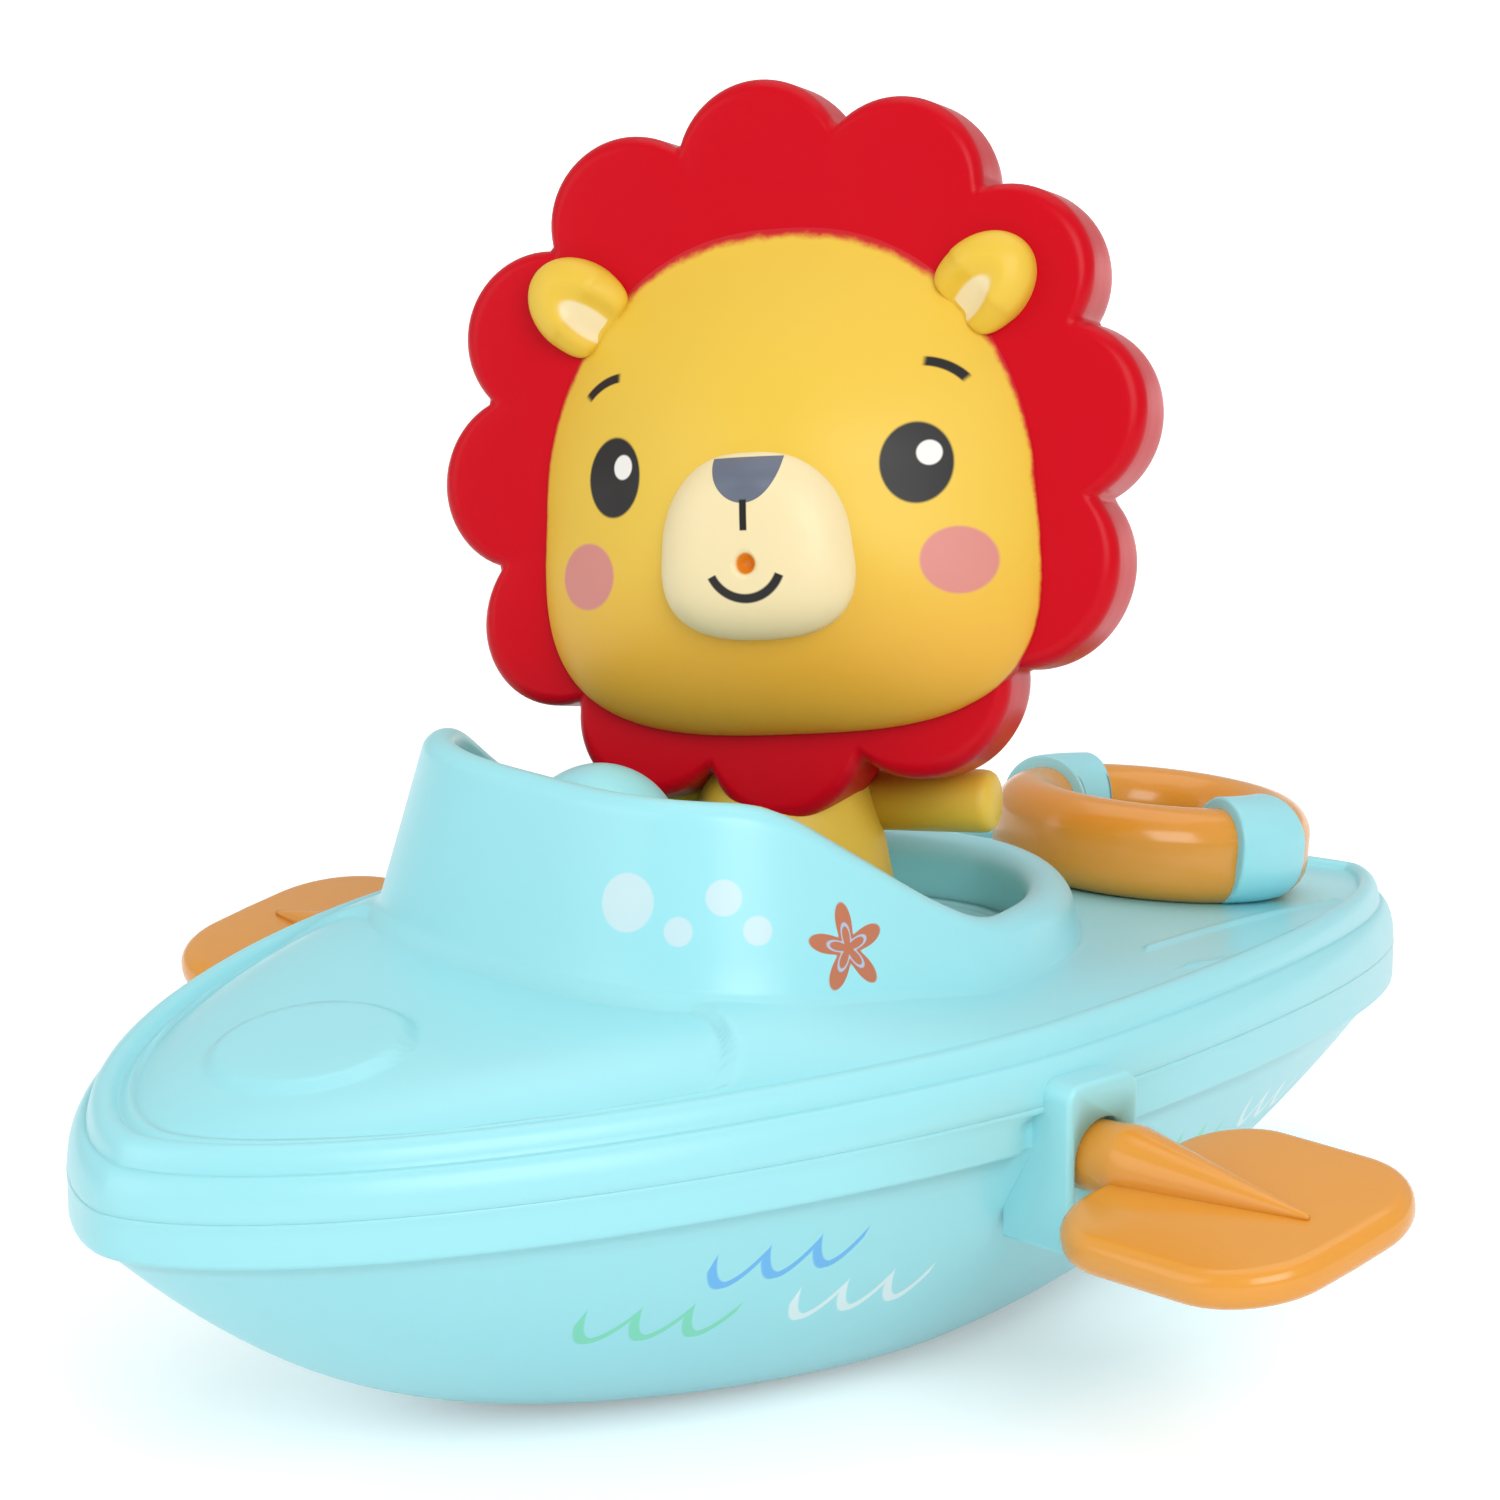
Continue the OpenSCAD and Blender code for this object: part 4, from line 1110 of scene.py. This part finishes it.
class BOAT_OT_figure(bpy.types.Operator):
    """Builds the figure: mane, face, muzzle, ears, body and arms"""

    bl_idname = "boat.figure"
    bl_label = "Figure"

    def execute(self, context):
        turn = Euler((figure.roll, -figure.pitch, figure.yaw), "XYZ").to_matrix().to_4x4()
        self.place = Matrix.Translation((figure.ahead, 0, figure.head)) @ turn
        self.mane()
        self.face()
        self.muzzle()
        self.ears()
        self.body()
        return {"FINISHED"}

    def store(self, bm):
        """Head coordinates in millimetres on every vertex, then the head's place."""
        layer = bm.verts.layers.float_vector.new("head")
        for v in bm.verts:
            v[layer] = (v.co.y / MM, v.co.z / MM, v.co.x / MM)
        bmesh.ops.transform(bm, matrix=self.place, verts=bm.verts)
        return bm

    def lobe(self, turn):
        """Reach of the mane's twelve lobes, those by the chin shifted and fuller."""
        pitch = math.radians(30)
        chin, chin_shift = math.radians(285), math.radians(8)
        full_at, full_half, fuller = math.radians(234), math.radians(60), 0.06
        shift = figure.lobe_turn - chin_shift * max(0.0, math.cos(turn - chin)) ** 2
        off = (turn - shift + pitch / 2) % pitch - pitch / 2
        d, r = figure.lobe_at, figure.lobe_radius
        reach = d * math.cos(off) + math.sqrt(r * r - (d * math.sin(off)) ** 2)
        low = math.remainder(turn - full_at, math.tau)
        if abs(low) < full_half:
            reach *= 1 + fuller * math.cos(math.pi / 2 * low / full_half) ** 2
        return reach

    def mane(self):
        """Twelve rounded lobes with a crisp front edge and a domed back, sizes in millimetres."""

        def round_face(turn, reach, depth):
            return Vector((depth * MM, reach * math.cos(turn), reach * math.sin(turn)))

        def rim(turn, inset, depth):
            return round_face(turn, self.lobe(turn) - inset * MM, depth)

        def disc(turn, part, depth):
            return round_face(turn, part * figure.lobe_at, depth)

        rows = [row(disc, part, 0.0) for part in (0.02, 0.3, 0.5, 0.65, 0.78)]
        rows.append(row(rim, 6.5, 0.0))
        edge = 1.9
        rows += [row(rim, edge * (1 - math.sin(t)), -edge * (1 - math.cos(t))) for t in quarter(8)]
        rows += [row(rim, 0.0, depth) for depth in (-4.0, -6.0, -8.0)]
        back = (
            (0.1, -9.0), (0.35, -10.0), (0.9, -11.2), (1.7, -12.3), (2.9, -13.4), (4.4, -14.4), (6.6, -15.6),
        )
        rows += [row(rim, inset, depth) for inset, depth in back]
        dome = ((0.85, -17.2), (0.6, -19.2), (0.35, -20.4), (0.02, -21.0))
        rows += [row(disc, part, depth) for part, depth in dome]
        red = plain_finish("red vinyl", figure.red, rough=0.3, sheen=0.14, soft=0.06, grain=1400.0, bump=0.03)
        piece(self.store(wrapped(360, rows)), "mane", red, "figure", ["lion_mane"])

    def face(self):
        """A domed face, steep at the chin."""
        brow_bend, chin_bend = 0.833, 0.667
        narrower, shorter, down = 0.15, 0.3 * MM, 4 * MM

        def dome(turn, part, sink):
            c, s = math.cos(turn), math.sin(turn)
            bend = brow_bend if s > 0 else chin_bend
            rise = figure.rise * max(0.0, math.cos(math.pi / 2 * part)) ** (0.85 + 0.35 * s)
            u = part * figure.face * power(c, bend) * (1 - narrower * s)
            v = part * (figure.face - shorter) * power(s, bend) - down
            return Vector((rise - sink, u, v))

        parts = [0.01] + [step / 40 for step in range(1, 36)]
        parts += [0.9, 0.92, 0.94, 0.955, 0.968, 0.978, 0.986, 0.992, 0.996, 0.999, 1.0]
        rows = [row(dome, part, 0.0) for part in parts]
        rows.append(row(dome, 1.0, 1.5 * MM))
        piece(self.store(wrapped(240, rows)), "face", face_finish(), "figure", ["lion_head"])

    def muzzle(self):
        """A pear-shaped muzzle with the squirt hole and a slight swell under the nose."""
        bend, pear = 0.8, 0.16
        hole_deep, hole_radius = 1.5 * MM, 1.1 * MM
        nose_swell, nose_at, nose_half = 0.6 * MM, -4.4 * MM, 2.6 * MM
        back, front_curve, edge_curve = 5 * MM, 3.2, 0.6

        def pear_row(turn, part, level):
            c, s = math.cos(turn), math.sin(turn)
            u = part * figure.muzzle_wide * power(c, bend) * (1 - pear * s)
            v = part * figure.muzzle_high * power(s, bend) - figure.muzzle_down
            if part < 0.8:
                level -= hole_deep * ease(1.3 - math.hypot(u, v - HOLE_AT * MM) / hole_radius)
            if part < 0.97:
                off = math.hypot(u / (NOSE_WIDE * MM), (v - nose_at) / nose_half)
                level += nose_swell * ease(1.1 - off)
            return Vector((level, u, v))

        rows = []
        for step in range(41):
            part = 0.02 + 0.98 * math.sin(math.pi / 2 * step / 40)
            fall = 1 - max(0.0, 1 - part ** front_curve) ** edge_curve
            rows.append(row(pear_row, part, figure.muzzle_out - back * fall))
        rows.append(row(pear_row, 1.0, back))
        piece(self.store(wrapped(160, rows)), "muzzle", muzzle_finish(), "figure")

    def ears(self):
        """Flattened ears with a shallow hollow and a broad, thin foot."""
        finish = ear_finish()
        square, broad, thin, short = 0.75, -0.7, 0.6, 0.65
        hollow, hollow_wide, hollow_high, hollow_down = 1.3 * MM, 2.2 * MM, 4.2 * MM, 2.2 * MM
        for s, name in SIDES:
            bm = bmesh.new()
            bmesh.ops.create_uvsphere(bm, u_segments=64, v_segments=32, radius=1.0)
            for v in bm.verts:
                v.co.x = power(v.co.x, square)
                around = math.hypot(v.co.x, v.co.y)
                if v.co.z < 0 and around > 0:
                    v.co.x *= around ** broad * (1 + thin * v.co.z)
                    v.co.y *= around ** broad
                    v.co.z *= short
            bmesh.ops.scale(bm, vec=(3.6 * MM, 4.9 * MM, 6.2 * MM), verts=bm.verts)
            for v in bm.verts:
                if v.co.x > 0:
                    near = math.hypot(v.co.y / hollow_wide, (v.co.z + hollow_down) / hollow_high)
                    v.co.x -= hollow * ease(1.4 - near)
            bmesh.ops.rotate(bm, verts=bm.verts, matrix=Matrix.Rotation(s * math.radians(-50), 3, "X"))
            bmesh.ops.translate(bm, verts=bm.verts, vec=(0.7 * MM, s * 22.2 * MM, 15.5 * MM))
            piece(self.store(bm), "ear_" + name, finish, "figure")

    def body(self):
        """A turned body with two arms, profiles in millimetres."""
        base = Matrix.Translation((figure.ahead, 0, deck.floor + 0.2 * MM))
        base @= Matrix.Rotation(figure.yaw, 4, "Z")
        trunk = (
            (0.0, 0.0), (10.2, 0.0), (11.0, 0.5), (11.4, 1.6), (11.8, 5.0),
            (11.6, 10.0), (10.6, 15.0), (9.0, 20.0), (7.4, 25.3), (0.0, 25.5),
        )
        arm = ((0.0, 0.0), (3.4, 0.0), (3.4, 13.4), (3.3, 14.1), (3.0, 14.6), (2.5, 14.9), (0.0, 15.0))
        bm = bmesh.new()
        lathe(bm, [(r * MM, z * MM) for r, z in trunk], 64, base)
        for s in (-1, 1):
            shoulder = Matrix.Translation((-5 * MM, s * 7 * MM, 18.5 * MM))
            lean = Matrix.Rotation(math.radians(-87 * s), 4, "X")
            lathe(bm, [(r * MM, z * MM) for r, z in arm], 40, base @ shoulder @ lean)
        yellow = plain_finish("yellow vinyl", figure.yellow, rough=0.45, soft=0.1)
        piece(bm, "figure_body", yellow, "figure", ["lion_body"])


class BOAT_OT_works(bpy.types.Operator):
    """Finishes on the motor, axle, screws and guide"""

    bl_idname = "boat.works"
    bl_label = "Works"

    def execute(self, context):
        white = plain_finish("white acetal", srgb(232, 232, 226), rough=0.45)
        grey = plain_finish("grey case", srgb(120, 124, 132), rough=0.5)
        steel = metal_finish("plated steel", srgb(205, 207, 210), 0.3)
        brass = metal_finish("stamped brass", srgb(214, 182, 110), 0.35)
        dress(white, "axle_bush_port", "axle_bush_starboard", "axle_pinion")
        dress(white, "idler_gear", "cord_drum", "cord_guide")
        dress(grey, "motor_case_port", "motor_case_starboard")
        dress(steel, "hull_screws", "motor_screws", "paddle_axle", "idler_pin", "arbor_pin")
        dress(steel, "mainspring", "clutch_spring")
        dress(brass, "drive_gear")
        return {"FINISHED"}


class BOAT_OT_stage(bpy.types.Operator):
    """Builds the floor, the studio light and the camera"""

    bl_idname = "boat.stage"
    bl_label = "Stage"

    def execute(self, context):
        scene = context.scene
        scene.view_settings.view_transform = "Standard"
        self.floor()
        self.world(scene)
        self.lamps()
        self.camera(scene)
        return {"FINISHED"}

    def floor(self):
        bm = bmesh.new()
        bmesh.ops.create_grid(bm, x_segments=1, y_segments=1, size=3.0)
        mesh = bpy.data.meshes.new("floor")
        bm.to_mesh(mesh)
        bm.free()
        mesh.materials.append(floor_finish())
        made = bpy.data.objects.new("floor", mesh)
        bpy.context.scene.collection.objects.link(made)

    def world(self, scene):
        world = bpy.data.worlds.new("studio")
        world.use_nodes = True
        nodes, links = world.node_tree.nodes, world.node_tree.links
        nodes.clear()
        out = nodes.new("ShaderNodeOutputWorld")
        light = nodes.new("ShaderNodeBackground")
        path = nodes.new("ShaderNodeLightPath")
        strength = nodes.new("ShaderNodeMapRange")
        on_boat, on_camera = 0.58, 1.0
        strength.inputs["To Min"].default_value = on_boat
        strength.inputs["To Max"].default_value = on_camera
        light.inputs["Color"].default_value = (1, 1, 1, 1)
        links.new(path.outputs["Is Camera Ray"], strength.inputs["Value"])
        links.new(strength.outputs["Result"], light.inputs["Strength"])
        links.new(light.outputs["Background"], out.inputs["Surface"])
        scene.world = world

    def lamps(self):
        aim = Vector((0, 0, 0.06))
        for name, place, wide, watts in (
            ("key", (0.3, 0.65, 0.5), 0.5, 3.4),
            ("top", (-0.25, -0.1, 0.95), 0.8, 1.95),
            ("fill", (0.75, -0.35, 0.4), 0.6, 1.55),
        ):
            lamp = bpy.data.lights.new(name, "AREA")
            lamp.energy = watts
            lamp.size = wide
            made = bpy.data.objects.new(name, lamp)
            bpy.context.scene.collection.objects.link(made)
            made.location = place
            made.rotation_euler = (aim - Vector(place)).to_track_quat("-Z", "Y").to_euler()

    def camera(self, scene):
        lens = bpy.data.cameras.new("camera")
        lens.lens = stage.lens
        lens.sensor_width = 36.0
        lens.clip_start = 0.01
        made = bpy.data.objects.new("camera", lens)
        scene.collection.objects.link(made)
        a, e = stage.azimuth, stage.elevation
        back = Vector((math.sin(a) * math.cos(e), -math.cos(a) * math.cos(e), math.sin(e)))
        made.location = Vector(stage.target) + back * stage.distance
        made.rotation_euler = (-back).to_track_quat("-Z", "Y").to_euler()
        scene.camera = made


class BOAT_PT_panel(bpy.types.Panel):
    """Buttons and sizes of the toy boat"""

    bl_idname = "BOAT_PT_panel"
    bl_label = "Toy boat"
    bl_space_type = "VIEW_3D"
    bl_region_type = "UI"
    bl_category = "Toy boat"

    def draw(self, context):
        for operator in OPERATORS:
            self.layout.operator(operator.bl_idname)
        for name, group in GROUPS.items():
            box = self.layout.box()
            box.label(text=group.__doc__)
            for key in group.__annotations__:
                label = key.replace("_", " ").capitalize()
                box.prop(getattr(context.scene, name), key, text=label)


OPERATORS = (
    BOAT_OT_hull,
    BOAT_OT_deck,
    BOAT_OT_cockpit,
    BOAT_OT_paddles,
    BOAT_OT_ring,
    BOAT_OT_figure,
    BOAT_OT_works,
    BOAT_OT_stage,
)


def register():
    for group in GROUPS.values():
        bpy.utils.register_class(group)
    for name, group in GROUPS.items():
        setattr(bpy.types.Scene, name, bpy.props.PointerProperty(type=group))
    for operator in OPERATORS:
        bpy.utils.register_class(operator)
    bpy.utils.register_class(BOAT_PT_panel)


def unregister():
    bpy.utils.unregister_class(BOAT_PT_panel)
    for operator in reversed(OPERATORS):
        bpy.utils.unregister_class(operator)
    for name, group in GROUPS.items():
        delattr(bpy.types.Scene, name)
        bpy.utils.unregister_class(group)


def main():
    register()
    bpy.ops.boat.stage()
    bpy.ops.boat.hull()
    bpy.ops.boat.deck()
    bpy.ops.boat.cockpit()
    bpy.ops.boat.paddles()
    bpy.ops.boat.ring()
    bpy.ops.boat.figure()
    bpy.ops.boat.works()


if __name__ == "__main__":
    main()
